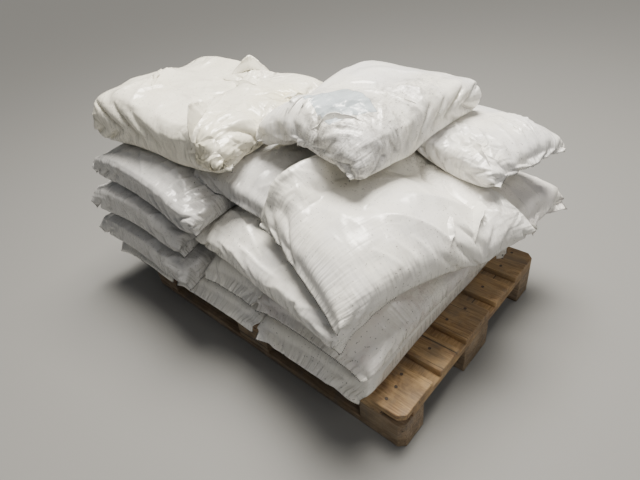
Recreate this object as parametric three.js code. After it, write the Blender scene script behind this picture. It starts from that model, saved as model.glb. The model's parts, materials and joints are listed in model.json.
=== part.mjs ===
// A loaded pallet: white film sacks stacked five courses high on a four-way wooden pallet.
// Millimetres, +Z up. The origin is the middle of the pallet's footprint, on the floor.
// +X runs along the 1200 side, and +Y along the 800 side.

import * as THREE from "three";
import { mergeVertices } from "three/addons/utils/BufferGeometryUtils.js";

// The pallet's driving dimensions
const PALLET_LENGTH = 1200;
const PALLET_WIDTH = 800;
const BOARD_THICKNESS = 22;
const BLOCK_HEIGHT = 78;
const WIDE_BOARD = 145;
const NARROW_BOARD = 100;
const CORNER_CHAMFER = 18;
const SPLIT_LENGTH = 70;
const SPLIT_WIDTH = 30;
const SPLIT_WIDTH_AT_END = 48;

// Levels, from the floor up
const BLOCK_LEVEL = BOARD_THICKNESS;
const STRINGER_LEVEL = BLOCK_LEVEL + BLOCK_HEIGHT;
const DECK_LEVEL = STRINGER_LEVEL + BOARD_THICKNESS;
const DECK_TOP = DECK_LEVEL + BOARD_THICKNESS;

// A filled sack lying flat
const SACK_LENGTH = 640;
const SACK_WIDTH = 425;
const SACK_THICKNESS = 114;
const RIM_SHARE = 0.42;
const RIM_WALL = 8;
const WALL_POWER = 8;
const WAIST_PULL = 0.05;
const END_PULL = 0.025;
const BEND_RADIUS = 550;

// How the film curves down to the rim, towards the ends and towards the long sides: a higher
// power keeps the sack full for longer, and a lower root drops it more steeply at last
const UPPER_CURVE = { endPower: 4, endRoot: 0.75, sidePower: 3, sideRoot: 0.5 };
const UNDER_CURVE = { endPower: 9, endRoot: 0.7, sidePower: 7, sideRoot: 0.5 };

// How a sack takes the shape of what carries it: the share of its footprint that must lie below
// its bed, how far a bump may stand above the bed, and how thin the filling gets over one
const BED_SHARE = 0.7;
const BUMP_ALLOWANCE = 20;
const THINNEST_SHARE = 0.3;
const THINNEST_WALL = 40;
const RESTING_GAP = 0.75;

// How finely a sack is meshed, and how finely the stack under it is felt out
const CELLS_ALONG = 12;
const CELLS_ACROSS = 8;
const FINER = 3;
const USUAL_CROWDING = Math.PI / 2;
const FINE_CROWDING = 1.2;
const FEELER_STEPS = 24;
const FEELER_REACH = 0.93;
const LIFT_ROUNDS = 12;
const MAP_REACH = { x: 900, y: 700 };
const HEIGHT_STEP = 2;
const SLIVER_AREA = 1e-6;
const SAME_CORNER = 1e-4;

const object = new THREE.Group();

const wood = new THREE.MeshStandardMaterial({ color: 0xa9865c, roughness: 0.85, metalness: 0 });
const greyWood = new THREE.MeshStandardMaterial({ color: 0x8f7a5e, roughness: 0.9, metalness: 0 });
const film = new THREE.MeshStandardMaterial({ color: 0xdedcd6, roughness: 0.45, metalness: 0 });
const oldFilm = new THREE.MeshStandardMaterial({ color: 0xe6e1d2, roughness: 0.5, metalness: 0 });

// The pallet

function addPiece(name, geometry, material) {
  const mesh = new THREE.Mesh(geometry, material);
  mesh.name = name;
  object.add(mesh);
  return mesh;
}

// A flat wooden piece: an outline drawn from above, as thick as it is tall
function addTimber(name, outline, level, height, material) {
  const geometry = new THREE.ExtrudeGeometry(outline, { depth: height, bevelEnabled: false });
  const mesh = addPiece(name, geometry, material);
  mesh.position.z = level;
}

// A rectangle whose corners may each be cut off, where it lies at a corner of the pallet
function timberOutline(centreX, centreY, sizeX, sizeY) {
  const outline = new THREE.Shape();
  const corners = [[1, 1], [-1, 1], [-1, -1], [1, -1]];
  const points = [];
  for (const [signX, signY] of corners) {
    const x = centreX + signX * sizeX / 2;
    const y = centreY + signY * sizeY / 2;
    const atPalletCorner = Math.abs(x) === PALLET_LENGTH / 2 && Math.abs(y) === PALLET_WIDTH / 2;
    if (!atPalletCorner) {
      points.push([x, y]);
      continue;
    }
    const alongX = [x - signX * CORNER_CHAMFER, y];
    const alongY = [x, y - signY * CORNER_CHAMFER];
    const pair = signX * signY > 0 ? [alongY, alongX] : [alongX, alongY];
    points.push(...pair);
  }
  outline.setFromPoints(points.map(([x, y]) => new THREE.Vector2(x, y)));
  return outline;
}

// The stringer at the near end has lost its corner, so a dark notch shows under the deck
function splitStringerOutline(centreX, sizeX) {
  const right = centreX + sizeX / 2;
  const left = centreX - sizeX / 2;
  const front = -PALLET_WIDTH / 2;
  const outline = new THREE.Shape();
  outline.moveTo(left, front);
  outline.lineTo(right - SPLIT_LENGTH, front);
  outline.lineTo(right - SPLIT_LENGTH, front + SPLIT_WIDTH);
  outline.lineTo(right, front + SPLIT_WIDTH_AT_END);
  outline.lineTo(right, PALLET_WIDTH / 2 - CORNER_CHAMFER);
  outline.lineTo(right - CORNER_CHAMFER, PALLET_WIDTH / 2);
  outline.lineTo(left, PALLET_WIDTH / 2);
  outline.closePath();
  return outline;
}

function addDeckBoards() {
  const widths = [WIDE_BOARD, NARROW_BOARD, WIDE_BOARD, NARROW_BOARD, WIDE_BOARD];
  const covered = widths.reduce((sum, width) => sum + width, 0);
  const space = (PALLET_WIDTH - covered) / (widths.length - 1);
  let front = -PALLET_WIDTH / 2;
  widths.forEach((width, index) => {
    const outline = timberOutline(0, front + width / 2, PALLET_LENGTH, width);
    addTimber(`deck_board_${index + 1}`, outline, DECK_LEVEL, BOARD_THICKNESS, wood);
    front += width + space;
  });
}

const ends = [
  { name: "left", x: -(PALLET_LENGTH - WIDE_BOARD) / 2 },
  { name: "middle", x: 0 },
  { name: "right", x: (PALLET_LENGTH - WIDE_BOARD) / 2 },
];
const rows = [
  { name: "front", y: -(PALLET_WIDTH - NARROW_BOARD) / 2, width: NARROW_BOARD },
  { name: "centre", y: 0, width: WIDE_BOARD },
  { name: "back", y: (PALLET_WIDTH - NARROW_BOARD) / 2, width: NARROW_BOARD },
];

function addStringers() {
  for (const end of ends) {
    const whole = timberOutline(end.x, 0, WIDE_BOARD, PALLET_WIDTH);
    const outline = end.name === "right" ? splitStringerOutline(end.x, WIDE_BOARD) : whole;
    addTimber(`stringer_board_${end.name}`, outline, STRINGER_LEVEL, BOARD_THICKNESS, wood);
  }
}

function addBlocksAndSkids() {
  for (const row of rows) {
    for (const end of ends) {
      const outline = timberOutline(end.x, row.y, WIDE_BOARD, row.width);
      addTimber(`block_${end.name}_${row.name}`, outline, BLOCK_LEVEL, BLOCK_HEIGHT, greyWood);
    }
    const skid = timberOutline(0, row.y, PALLET_LENGTH, row.width);
    addTimber(`bottom_board_${row.name}`, skid, 0, BOARD_THICKNESS, greyWood);
  }
}

// The stack as a height map: how high the load reaches so far, over a square grid. The guard map
// is one step wider round each sack, so that steep flanks keep clear of each other

const MAP_COLUMNS = 2 * MAP_REACH.x / HEIGHT_STEP + 1;
const MAP_ROWS = 2 * MAP_REACH.y / HEIGHT_STEP + 1;
const MAP_NEIGHBOURS = [-1, 0, 1].flatMap((right) => [-1, 0, 1].map((back) => [right, back]));
const heights = new Float64Array(MAP_COLUMNS * MAP_ROWS);
const guardHeights = new Float64Array(MAP_COLUMNS * MAP_ROWS);

function mapIndex(column, row) {
  return row * MAP_COLUMNS + column;
}

function heightAt(x, y) {
  const column = Math.round((x + MAP_REACH.x) / HEIGHT_STEP);
  const row = Math.round((y + MAP_REACH.y) / HEIGHT_STEP);
  return heights[mapIndex(column, row)];
}

function layDeckOnMap() {
  for (let row = 0; row < MAP_ROWS; row += 1) {
    for (let column = 0; column < MAP_COLUMNS; column += 1) {
      const x = column * HEIGHT_STEP - MAP_REACH.x;
      const y = row * HEIGHT_STEP - MAP_REACH.y;
      const onDeck = Math.abs(x) <= PALLET_LENGTH / 2 && Math.abs(y) <= PALLET_WIDTH / 2;
      heights[mapIndex(column, row)] = onDeck ? DECK_TOP : 0;
      guardHeights[mapIndex(column, row)] = heights[mapIndex(column, row)];
    }
  }
}

// Calls visit(column, row, weights) for each map point under a triangle seen from above
function walkTriangle(p, q, r, visit) {
  const area = (q.x - p.x) * (r.y - p.y) - (r.x - p.x) * (q.y - p.y);
  if (Math.abs(area) < SLIVER_AREA) {
    return;
  }
  const firstColumn = Math.ceil((Math.min(p.x, q.x, r.x) + MAP_REACH.x) / HEIGHT_STEP);
  const lastColumn = Math.floor((Math.max(p.x, q.x, r.x) + MAP_REACH.x) / HEIGHT_STEP);
  const firstRow = Math.ceil((Math.min(p.y, q.y, r.y) + MAP_REACH.y) / HEIGHT_STEP);
  const lastRow = Math.floor((Math.max(p.y, q.y, r.y) + MAP_REACH.y) / HEIGHT_STEP);
  for (let row = firstRow; row <= lastRow; row += 1) {
    for (let column = firstColumn; column <= lastColumn; column += 1) {
      const x = column * HEIGHT_STEP - MAP_REACH.x;
      const y = row * HEIGHT_STEP - MAP_REACH.y;
      const second = ((x - p.x) * (r.y - p.y) - (r.x - p.x) * (y - p.y)) / area;
      const third = ((q.x - p.x) * (y - p.y) - (x - p.x) * (q.y - p.y)) / area;
      const first = 1 - second - third;
      if (first >= 0 && second >= 0 && third >= 0) {
        visit(column, row, [first, second, third]);
      }
    }
  }
}

// The sacks

// Moves evenly spaced grid lines closer together towards the rim, where a sack curves most
function towardsRim(share, crowding) {
  return Math.sin(share * crowding) / Math.sin(crowding);
}

// A point of the sack's outline grid, seen from above; its corners stand out as a pillow's do
function planPoint(sack, along, across) {
  const length = sack.length / 2 * along * (1 - END_PULL * (1 - across * across));
  const width = sack.width / 2 * across * (1 - WAIST_PULL * (1 - along * along));
  const turn = THREE.MathUtils.degToRad(sack.turn);
  return {
    x: sack.x + length * Math.cos(turn) - width * Math.sin(turn),
    y: sack.y + length * Math.sin(turn) + width * Math.cos(turn),
  };
}

// The round of the film: 1 over the middle and 0 at the rim
function filmRound(along, across, curve, blunt) {
  const endRound = (1 - Math.abs(along) ** (curve.endPower * blunt)) ** (curve.endRoot / blunt);
  const sideRound = (1 - Math.abs(across) ** (curve.sidePower * blunt)) ** (curve.sideRoot / blunt);
  return endRound * sideRound;
}

// Feels out what lies under a sack, on a grid of points a little inside its outline. The filling
// gives way over a bump higher than the allowance above the bed, so the sack is thinner there
function feelSupport(sack) {
  const feelers = [];
  for (let i = 0; i <= FEELER_STEPS; i += 1) {
    for (let j = 0; j <= FEELER_STEPS; j += 1) {
      const along = FEELER_REACH * (2 * i / FEELER_STEPS - 1);
      const across = FEELER_REACH * (2 * j / FEELER_STEPS - 1);
      const point = planPoint(sack, along, across);
      feelers.push({ ...point, z: heightAt(point.x, point.y) });
    }
  }
  const levels = feelers.map((feeler) => feeler.z).sort((a, b) => a - b);
  const bedLevel = levels[Math.floor(levels.length * BED_SHARE)];
  for (const feeler of feelers) {
    feeler.z = Math.min(feeler.z, bedLevel + BUMP_ALLOWANCE);
  }
  return feelers;
}

// The sagging underside: no point bends down from what carries it tighter than the bend radius
function drapedHeight(sack, feelers, point) {
  let height = 0;
  for (const feeler of feelers) {
    const dx = feeler.x - point.x;
    const dy = feeler.y - point.y;
    height = Math.max(height, feeler.z - (dx * dx + dy * dy) / (2 * sack.bend));
  }
  return height;
}

// Visits the map points under a set of triangles, with the height of the triangle there
function walkSurface(points, triangles, visit) {
  for (const corners of triangles) {
    const [p, q, r] = corners.map((corner) => points[corner]);
    walkTriangle(p, q, r, (column, row, weights) => {
      const here = weights[0] * p.z + weights[1] * q.z + weights[2] * r.z;
      visit(column, row, here, corners, weights);
    });
  }
}

// Lifts the underside where it would cut into what lies below, a few corners at a time
function clearWhatLiesBelow(points, triangles) {
  for (let round = 0; round < LIFT_ROUNDS; round += 1) {
    const lifts = points.map(() => 0);
    walkSurface(points, triangles, (column, row, here, corners, weights) => {
      const missing = guardHeights[mapIndex(column, row)] + RESTING_GAP - here;
      if (missing <= 0) {
        return;
      }
      const spread = weights[0] ** 2 + weights[1] ** 2 + weights[2] ** 2;
      corners.forEach((corner, k) => {
        lifts[corner] = Math.max(lifts[corner], missing * weights[k] / spread);
      });
    });
    points.forEach((point, k) => {
      point.z += lifts[k];
    });
  }
}

// Lets the whole sack down until its underside is one resting gap above what carries it
function settle(points, undersideTriangles) {
  let clearance = Infinity;
  walkSurface(points, undersideTriangles, (column, row, here) => {
    clearance = Math.min(clearance, here - heights[mapIndex(column, row)]);
  });
  for (const point of points) {
    point.z -= clearance - RESTING_GAP;
  }
}

function layOnMap(points, triangles) {
  walkSurface(points, triangles, (column, row, here) => {
    const centre = mapIndex(column, row);
    heights[centre] = Math.max(heights[centre], here);
    for (const [right, back] of MAP_NEIGHBOURS) {
      const index = mapIndex(column + right, row + back);
      guardHeights[index] = Math.max(guardHeights[index], here);
    }
  });
}

// How tall the film stands upright at the rim, along the sides and round each end
function wallHeight(sack, along) {
  const end = THREE.MathUtils.lerp(...sack.endWalls, (1 + along) / 2);
  const side = sack.sideWall * Math.sqrt(1 - Math.abs(along) ** WALL_POWER);
  const slumped = side * (1 - sack.slump * (1 + along) / 2);
  return Math.max(RIM_WALL, end, slumped);
}

// How far the folds lift the film: each is a straight ridge that fades out at both ends and aside
function foldHeight(sack, along, across) {
  const size = new THREE.Vector2(sack.length / 2, sack.width / 2);
  const here = new THREE.Vector2(along, across).multiply(size);
  let height = 0;
  for (const fold of sack.folds) {
    const start = new THREE.Vector2(...fold.from).multiply(size);
    const line = new THREE.Vector2(...fold.to).multiply(size).sub(start);
    const offset = here.clone().sub(start);
    const share = THREE.MathUtils.clamp(offset.dot(line) / line.lengthSq(), 0, 1);
    const aside = Math.abs(offset.cross(line)) / line.length();
    height += fold.height * Math.sqrt(Math.sin(share * Math.PI)) * Math.exp(-aside / fold.width);
  }
  return height;
}

// A closed box of quads, two units wide each way, whose corners are shared between its faces
function makeSackGrid(sack) {
  const finer = sack.folds.length > 0 ? FINER : 1;
  const box = new THREE.BoxGeometry(2, 2, 2, CELLS_ALONG * finer, CELLS_ACROSS * finer, 1);
  box.deleteAttribute("normal");
  box.deleteAttribute("uv");
  return mergeVertices(box, SAME_CORNER);
}

// Where a corner of the grid comes on the sack, before the sack meets what carries it
function placeCorner(sack, feelers, position, k) {
  const crowding = sack.folds.length > 0 ? FINE_CROWDING : USUAL_CROWDING;
  const along = towardsRim(position.getX(k), crowding);
  const across = towardsRim(position.getY(k), crowding);
  const point = planPoint(sack, along, across);
  const draped = drapedHeight(sack, feelers, point);
  const thickness = sack.thickness * (1 - sack.slump * (1 + along) / 2);
  const rim = RIM_SHARE * thickness;
  const wall = wallHeight(sack, along);
  const upper = filmRound(along, across, UPPER_CURVE, sack.blunt);
  const under = filmRound(along, across, UNDER_CURVE, 1);
  const isUpper = position.getZ(k) > 0;
  const dome = thickness - rim - (wall - RIM_WALL) / 2;
  const upside = draped + rim + wall / 2 + dome * upper + foldHeight(sack, along, across);
  const underside = draped + (rim - wall / 2) * (1 - under);
  return {
    x: point.x,
    y: point.y,
    z: isUpper ? upside : underside,
    isUpper,
    thinnest: Math.min(wall, THINNEST_WALL) + THINNEST_SHARE * thickness * upper,
    key: `${position.getX(k).toFixed(3)} ${position.getY(k).toFixed(3)}`,
  };
}

// Keeps the filling's least thickness wherever the underside has been lifted
function keepThickness(corners) {
  const undersides = new Map(corners.filter((c) => !c.isUpper).map((c) => [c.key, c.z]));
  for (const corner of corners.filter((c) => c.isUpper)) {
    corner.z = Math.max(corner.z, undersides.get(corner.key) + corner.thinnest);
  }
}

function addSack(settings) {
  const sack = { ...USUAL_SACK, ...settings };
  const geometry = makeSackGrid(sack);
  const position = geometry.getAttribute("position");
  const index = geometry.index;
  const feelers = feelSupport(sack);
  const corners = [];
  for (let k = 0; k < position.count; k += 1) {
    corners.push(placeCorner(sack, feelers, position, k));
  }
  const triangles = [];
  for (let k = 0; k < index.count; k += 3) {
    triangles.push([index.getX(k), index.getX(k + 1), index.getX(k + 2)]);
  }
  const underTriangles = triangles.filter((ends) => ends.every((k) => !corners[k].isUpper));
  const upperTriangles = triangles.filter((ends) => ends.every((k) => corners[k].isUpper));
  clearWhatLiesBelow(corners, underTriangles);
  keepThickness(corners);
  settle(corners, underTriangles);
  layOnMap(corners, upperTriangles);
  corners.forEach((corner, k) => position.setXYZ(k, corner.x, corner.y, corner.z));
  addPiece(sack.name, geometry, sack.material);
}

// A sack that slumps is thinner towards its far end, and a blunt one keeps its height to the rim.
// A fold runs between two places given as shares of the half length and the half width
const USUAL_SACK = {
  length: SACK_LENGTH,
  width: SACK_WIDTH,
  thickness: SACK_THICKNESS,
  bend: BEND_RADIUS,
  slump: 0,
  blunt: 1,
  sideWall: RIM_WALL,
  endWalls: [RIM_WALL, RIM_WALL],
  folds: [],
  material: film,
};

// Where each sack lies. Right is +X, front is -Y, and turn is its long axis from +X, in degrees
const LOWEST_COURSE = [
  { name: "sack_1_right", x: 300, y: -85, turn: 90, length: 680, width: 415 },
  { name: "sack_1_middle", x: -125, y: -80, turn: 90.5, length: 680, width: 415 },
  { name: "sack_1_left", x: -550, y: -70, turn: 89.5, length: 680, width: 415 },
];
const SECOND_COURSE = [
  { name: "sack_2_right", x: 318, y: -55, turn: 88, length: 710, width: 430 },
  { name: "sack_2_left_front", x: -478, y: -262, turn: -1, length: 610 },
  { name: "sack_2_left_back", x: -450, y: 190, turn: 2, length: 620 },
  { name: "sack_2_middle", x: -30, y: -70, turn: 91, length: 660, width: 245, thickness: 130 },
];
const THIRD_COURSE = [
  { name: "sack_3_right_front", x: 165, y: -218, turn: -6, length: 630, width: 430 },
  { name: "sack_3_left_front", x: -485, y: -246, turn: 1, length: 570 },
  { name: "sack_3_left_back", x: -445, y: 200, turn: -2, length: 620 },
  {
    name: "sack_3_right_back", x: 290, y: 298, turn: -5, length: 640, width: 420, thickness: 125,
    bend: 1500, sideWall: 55, endWalls: [8, 65],
  },
];
const FOURTH_COURSE = [
  { name: "sack_4_left_front", x: -410, y: -215, turn: -2, length: 640, width: 430 },
  { name: "sack_4_left_back", x: -425, y: 225, turn: 3, length: 620 },
  { name: "sack_4_middle", x: -5, y: -5, turn: 91, length: 620, width: 430 },
  {
    name: "sack_4_right_front", x: 350, y: -90, turn: 72, length: 620, width: 470, bend: 160,
    sideWall: 50,
    folds: [
      { from: [-0.64, 0.05], to: [-0.46, -0.68], height: 9, width: 34 },
      { from: [0, -0.28], to: [0.58, -0.68], height: 13, width: 26 },
      { from: [-0.28, -0.46], to: [0.14, -0.94], height: 14, width: 26 },
      { from: [0.54, -0.6], to: [0.4, -1], height: 12, width: 20 },
    ],
  },
  {
    name: "sack_4_right_back", x: 286, y: 306, turn: -8, length: 600, width: 370, bend: 1500,
    sideWall: 55, endWalls: [8, 30],
  },
];
const TOP_COURSE = [
  {
    name: "sack_top_left", x: -386, y: -80, turn: 4, length: 648, width: 545,
    thickness: 180, slump: 0.4, blunt: 2, sideWall: 95, endWalls: [85, 8], material: oldFilm,
    folds: [
      { from: [-0.29, -0.95], to: [-0.72, 0.25], height: 15, width: 24 },
      { from: [-0.6, -0.95], to: [-0.52, -0.5], height: 12, width: 22 },
      { from: [0.56, -0.62], to: [0.64, -1], height: 24, width: 20 },
      { from: [0.61, -0.76], to: [0.36, -0.04], height: 15, width: 22 },
      { from: [0.34, -0.08], to: [0.66, 0.2], height: 12, width: 22 },
      { from: [-0.1, 0.4], to: [0.64, 0.24], height: 12, width: 22 },
      { from: [0.02, 0.52], to: [0.24, 0.8], height: 38, width: 22 },
    ],
  },
  {
    name: "sack_top_right", x: 165, y: 85, turn: 86, length: 550, width: 400,
    thickness: 118, bend: 350, blunt: 1.2, sideWall: 75, endWalls: [50, 70],
    folds: [
      { from: [-0.3, -0.1], to: [0, -0.98], height: 15, width: 26 },
      { from: [-0.02, -0.2], to: [0.3, -0.98], height: 11, width: 22 },
      { from: [-0.98, -0.12], to: [-0.22, -0.64], height: 13, width: 24 },
      { from: [-1, 0.32], to: [-0.55, 0.36], height: 11, width: 18 },
      { from: [-1, 0.06], to: [-0.55, 0.14], height: 10, width: 18 },
    ],
  },
];

addDeckBoards();
addStringers();
addBlocksAndSkids();
layDeckOnMap();
for (const course of [LOWEST_COURSE, SECOND_COURSE, THIRD_COURSE, FOURTH_COURSE, TOP_COURSE]) {
  course.forEach(addSack);
}

export default object;
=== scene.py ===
# %% [markdown]
# # A pallet stacked with filled film sacks
# The object is a wooden four-way pallet with white film sacks laid on it in courses. Each sack is
# a tube of thin film, sealed flat at both ends and filled with loose granules. It sags over what
# carries it, and the film has to crease where it is larger than the shape it wraps.
# The CAD model is loaded as a fixed frame in metres, with +Z up. Every piece made below takes its
# place from a CAD node, so nothing has to be fitted by eye.

import json
import time
from math import cos, radians, sin

import bmesh
import bpy
import numpy as np
from mathutils import Matrix, Vector, noise
from mathutils.bvhtree import BVHTree

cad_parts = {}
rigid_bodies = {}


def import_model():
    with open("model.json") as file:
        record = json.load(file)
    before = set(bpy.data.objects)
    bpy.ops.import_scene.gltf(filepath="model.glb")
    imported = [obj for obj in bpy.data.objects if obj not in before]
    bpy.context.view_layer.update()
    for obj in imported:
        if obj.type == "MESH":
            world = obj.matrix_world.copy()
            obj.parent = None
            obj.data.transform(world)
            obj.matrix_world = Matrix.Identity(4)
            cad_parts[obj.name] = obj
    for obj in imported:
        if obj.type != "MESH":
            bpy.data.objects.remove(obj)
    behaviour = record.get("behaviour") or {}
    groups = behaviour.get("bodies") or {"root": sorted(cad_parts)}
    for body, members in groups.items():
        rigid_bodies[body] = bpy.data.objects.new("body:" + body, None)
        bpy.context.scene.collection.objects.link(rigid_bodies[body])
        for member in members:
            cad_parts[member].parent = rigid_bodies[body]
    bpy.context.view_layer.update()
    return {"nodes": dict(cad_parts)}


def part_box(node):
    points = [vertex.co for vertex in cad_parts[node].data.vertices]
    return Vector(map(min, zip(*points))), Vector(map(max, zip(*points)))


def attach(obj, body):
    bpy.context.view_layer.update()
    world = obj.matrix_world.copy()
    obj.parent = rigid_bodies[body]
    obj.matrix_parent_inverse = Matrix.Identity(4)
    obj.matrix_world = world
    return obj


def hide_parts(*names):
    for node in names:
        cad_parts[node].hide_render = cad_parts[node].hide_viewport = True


started = time.time()
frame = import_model()
nodes = frame["nodes"]
scene = bpy.context.scene

# %% [markdown]
# ## The camera
# The view of the photograph was found by fitting a camera to the pallet's corners and edges. It is
# kept as a place, three angles and a focal length in pixels of a 640 x 480 image. A camera looks
# along its own -Z, so its axes are worked out from the angles and become the matrix's columns.

# %% Set the camera
CAMERA_PLACE = (1.0040, -0.9833, 1.2490)
CAMERA_YAW = radians(136.442)
CAMERA_PITCH = radians(36.299)
CAMERA_ROLL = radians(-7.905)
FOCAL_PIXELS = 481.26
IMAGE_WIDTH = 640
SENSOR_WIDTH = 36.0

ahead = Vector((cos(CAMERA_PITCH) * cos(CAMERA_YAW), cos(CAMERA_PITCH) * sin(CAMERA_YAW),
                -sin(CAMERA_PITCH)))
level_right = ahead.cross(Vector((0, 0, 1))).normalized()
level_up = level_right.cross(ahead)
right = cos(CAMERA_ROLL) * level_right + sin(CAMERA_ROLL) * level_up
up = cos(CAMERA_ROLL) * level_up - sin(CAMERA_ROLL) * level_right

camera = bpy.data.objects.new("camera", bpy.data.cameras.new("camera"))
turned = Matrix((right, up, -ahead)).transposed().to_4x4()
camera.matrix_world = Matrix.Translation(CAMERA_PLACE) @ turned
camera.data.sensor_width = SENSOR_WIDTH
camera.data.lens = FOCAL_PIXELS / IMAGE_WIDTH * SENSOR_WIDTH
scene.collection.objects.link(camera)
scene.camera = camera
print("focal length:", round(camera.data.lens, 2), "mm")

# %% [markdown]
# ## Light and floor
# White film on a pale floor needs soft light with a clear direction, or its folds vanish. Roof
# lamps lit the real stack. A sun lamp stands for them: it shines almost straight down and a little
# towards the front, and as it is 24 degrees wide, its shadows have soft edges. A large lamp high
# behind the stack brightens the tops and leaves the near long side in shade. A smaller one brightens
# the right side, and a weak cool one keeps the shade open. All three are aimed at the stack.

# %% Set the lamps
AIM = Vector((0.0, 0.0, 0.45))
LAMPS = {
    "high lamp": {"place": (-0.2, 0.7, 3.2), "size": 1.4, "power": 200, "colour": (1.0, 0.95, 0.86)},
    "right lamp": {"place": (2.4, -0.9, 2.6), "size": 1.4, "power": 24, "colour": (1.0, 0.96, 0.90)},
    "front fill": {"place": (0.4, -3.2, 1.6), "size": 2.2, "power": 2, "colour": (0.90, 0.95, 1.0)},
}
ROOF_WAY = Vector((0.05, -0.25, -1.0))
ROOF_WIDTH = radians(24)
ROOF_POWER = 3.4
ROOF_COLOUR = (1.0, 0.955, 0.87)
ROOM_COLOUR = (0.84, 0.88, 0.95, 1)
ROOM_STRENGTH = 0.11


def add_object(name, data):
    """A new object at the origin, linked to the scene."""
    made = bpy.data.objects.new(name, data)
    scene.collection.objects.link(made)
    return made


def add_light(name, kind, way, power, colour):
    """A new light that shines along a way, and its object."""
    light = bpy.data.lights.new(name, kind)
    light.energy = power
    light.color = colour
    holder = add_object(name, light)
    holder.rotation_euler = way.to_track_quat("-Z", "Y").to_euler()
    return light, holder


for name, lamp in LAMPS.items():
    light, holder = add_light(name, "AREA", AIM - Vector(lamp["place"]), lamp["power"], lamp["colour"])
    light.shape = "SQUARE"
    light.size = lamp["size"]
    holder.location = lamp["place"]
roof_light, _ = add_light("roof light", "SUN", ROOF_WAY, ROOF_POWER, ROOF_COLOUR)
roof_light.angle = ROOF_WIDTH

world = bpy.data.worlds.new("pale room")
world.use_nodes = True
room = world.node_tree.nodes["Background"].inputs
room["Color"].default_value = ROOM_COLOUR
room["Strength"].default_value = ROOM_STRENGTH
scene.world = world

# %% Lay the floor
FLOOR_HALF = 30.0
floor_corners = [(-FLOOR_HALF, -FLOOR_HALF, 0), (FLOOR_HALF, -FLOOR_HALF, 0),
                 (FLOOR_HALF, FLOOR_HALF, 0), (-FLOOR_HALF, FLOOR_HALF, 0)]
floor_mesh = bpy.data.meshes.new("floor")
floor_mesh.from_pydata(floor_corners, [], [(0, 1, 2, 3)])
floor = add_object("floor", floor_mesh)
print("floor:", 2 * FLOOR_HALF, "m square")

# %% [markdown]
# ## Material helpers
# A procedural material is a small graph of nodes. These helpers add a node, set its inputs or wire
# them to other nodes, so that each finish below reads as a list of what it is made of. A number
# that is the same all over goes straight on the shader's socket.

# %% A graph of nodes


class Graph:
    """A node tree under construction."""

    def __init__(self, tree):
        self.tree = tree

    def node(self, kind, settings=None, **inputs):
        made = self.tree.nodes.new(kind)
        for key, value in (settings or {}).items():
            setattr(made, key, value)
        for key, value in inputs.items():
            self.plug(made.inputs[key.replace("_", " ")], value)
        return made

    def plug(self, socket, value):
        if isinstance(value, bpy.types.NodeSocket):
            self.tree.links.new(value, socket)
        else:
            socket.default_value = value


print("graph helpers:", [name for name in vars(Graph) if not name.startswith("_")])

# %% A material as a graph


class Finish(Graph):
    """A node material under construction."""

    def __init__(self, name):
        self.material = bpy.data.materials.new(name)
        self.material.use_nodes = True
        super().__init__(self.material.node_tree)
        self.shader = self.tree.nodes["Principled BSDF"]

    def coordinates(self, kind="Object", scale=(1, 1, 1)):
        source = self.node("ShaderNodeTexCoord").outputs[kind]
        return self.node("ShaderNodeMapping", Vector=source, Scale=scale).outputs[0]

    def noise(self, where, scale, detail=4.0, roughness=0.55, distortion=0.0):
        made = self.node("ShaderNodeTexNoise", Vector=where, Scale=scale, Detail=detail,
                         Roughness=roughness, Distortion=distortion)
        return made.outputs["Fac"]

    def ridges(self, where, scale, detail=3.0, distortion=0.0):
        made = self.node("ShaderNodeTexNoise", {"noise_type": "RIDGED_MULTIFRACTAL"}, Vector=where,
                         Scale=scale, Detail=detail, Distortion=distortion)
        return made.outputs["Fac"]

    def warped(self, where, scale, amount):
        """Coordinates pushed about by a slow noise, so that straight cells become crooked."""
        push = self.node("ShaderNodeTexNoise", Vector=where, Scale=scale).outputs["Color"]
        made = self.node("ShaderNodeVectorMath", {"operation": "MULTIPLY_ADD"})
        self.plug(made.inputs[0], push)
        self.plug(made.inputs[1], (amount, amount, amount))
        self.plug(made.inputs[2], where)
        return made.outputs[0]

    def remap(self, value, low, high, to_low=0.0, to_high=1.0):
        """A value's share of the way from low to high, spread over another range."""
        made = self.node("ShaderNodeMapRange", Value=value)
        for socket, number in zip(made.inputs[1:5], (low, high, to_low, to_high)):
            socket.default_value = number
        return made.outputs[0]

    def math(self, operation, first, second):
        made = self.node("ShaderNodeMath", {"operation": operation})
        self.plug(made.inputs[0], first)
        self.plug(made.inputs[1], second)
        return made.outputs[0]

    def mix(self, share, first, second):
        made = self.node("ShaderNodeMix", {"data_type": "RGBA"})
        self.plug(made.inputs[0], share)
        self.plug(made.inputs[6], first)
        self.plug(made.inputs[7], second)
        return made.outputs[2]

    def attribute(self, name):
        return self.node("ShaderNodeAttribute", {"attribute_name": name}).outputs["Fac"]

    def bump(self, height, distance, strength=1.0):
        made = self.node("ShaderNodeBump", Height=height, Distance=distance, Strength=strength)
        return made.outputs["Normal"]

    def finish(self, **inputs):
        for key, value in inputs.items():
            self.plug(self.shader.inputs[key.replace("_", " ")], value)
        return self.material


print("finish helpers:", [name for name in vars(Finish) if not name.startswith("_")])

# %% Plain finishes, and the floor's


def plain_finish(name, colour, roughness):
    return Finish(name).finish(Base_Color=(*colour, 1), Roughness=roughness)


def scaled(colour, factor=1.0):
    """A colour made lighter or darker, as a material's colour socket takes it."""
    return (*[min(1, channel * factor) for channel in colour], 1)


FLOOR_COLOUR = (0.205, 0.204, 0.198)
FLOOR_ROUGHNESS = 0.8
floor_mesh.materials.append(plain_finish("pale floor", FLOOR_COLOUR, FLOOR_ROUGHNESS))
print("materials:", len(bpy.data.materials))

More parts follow.
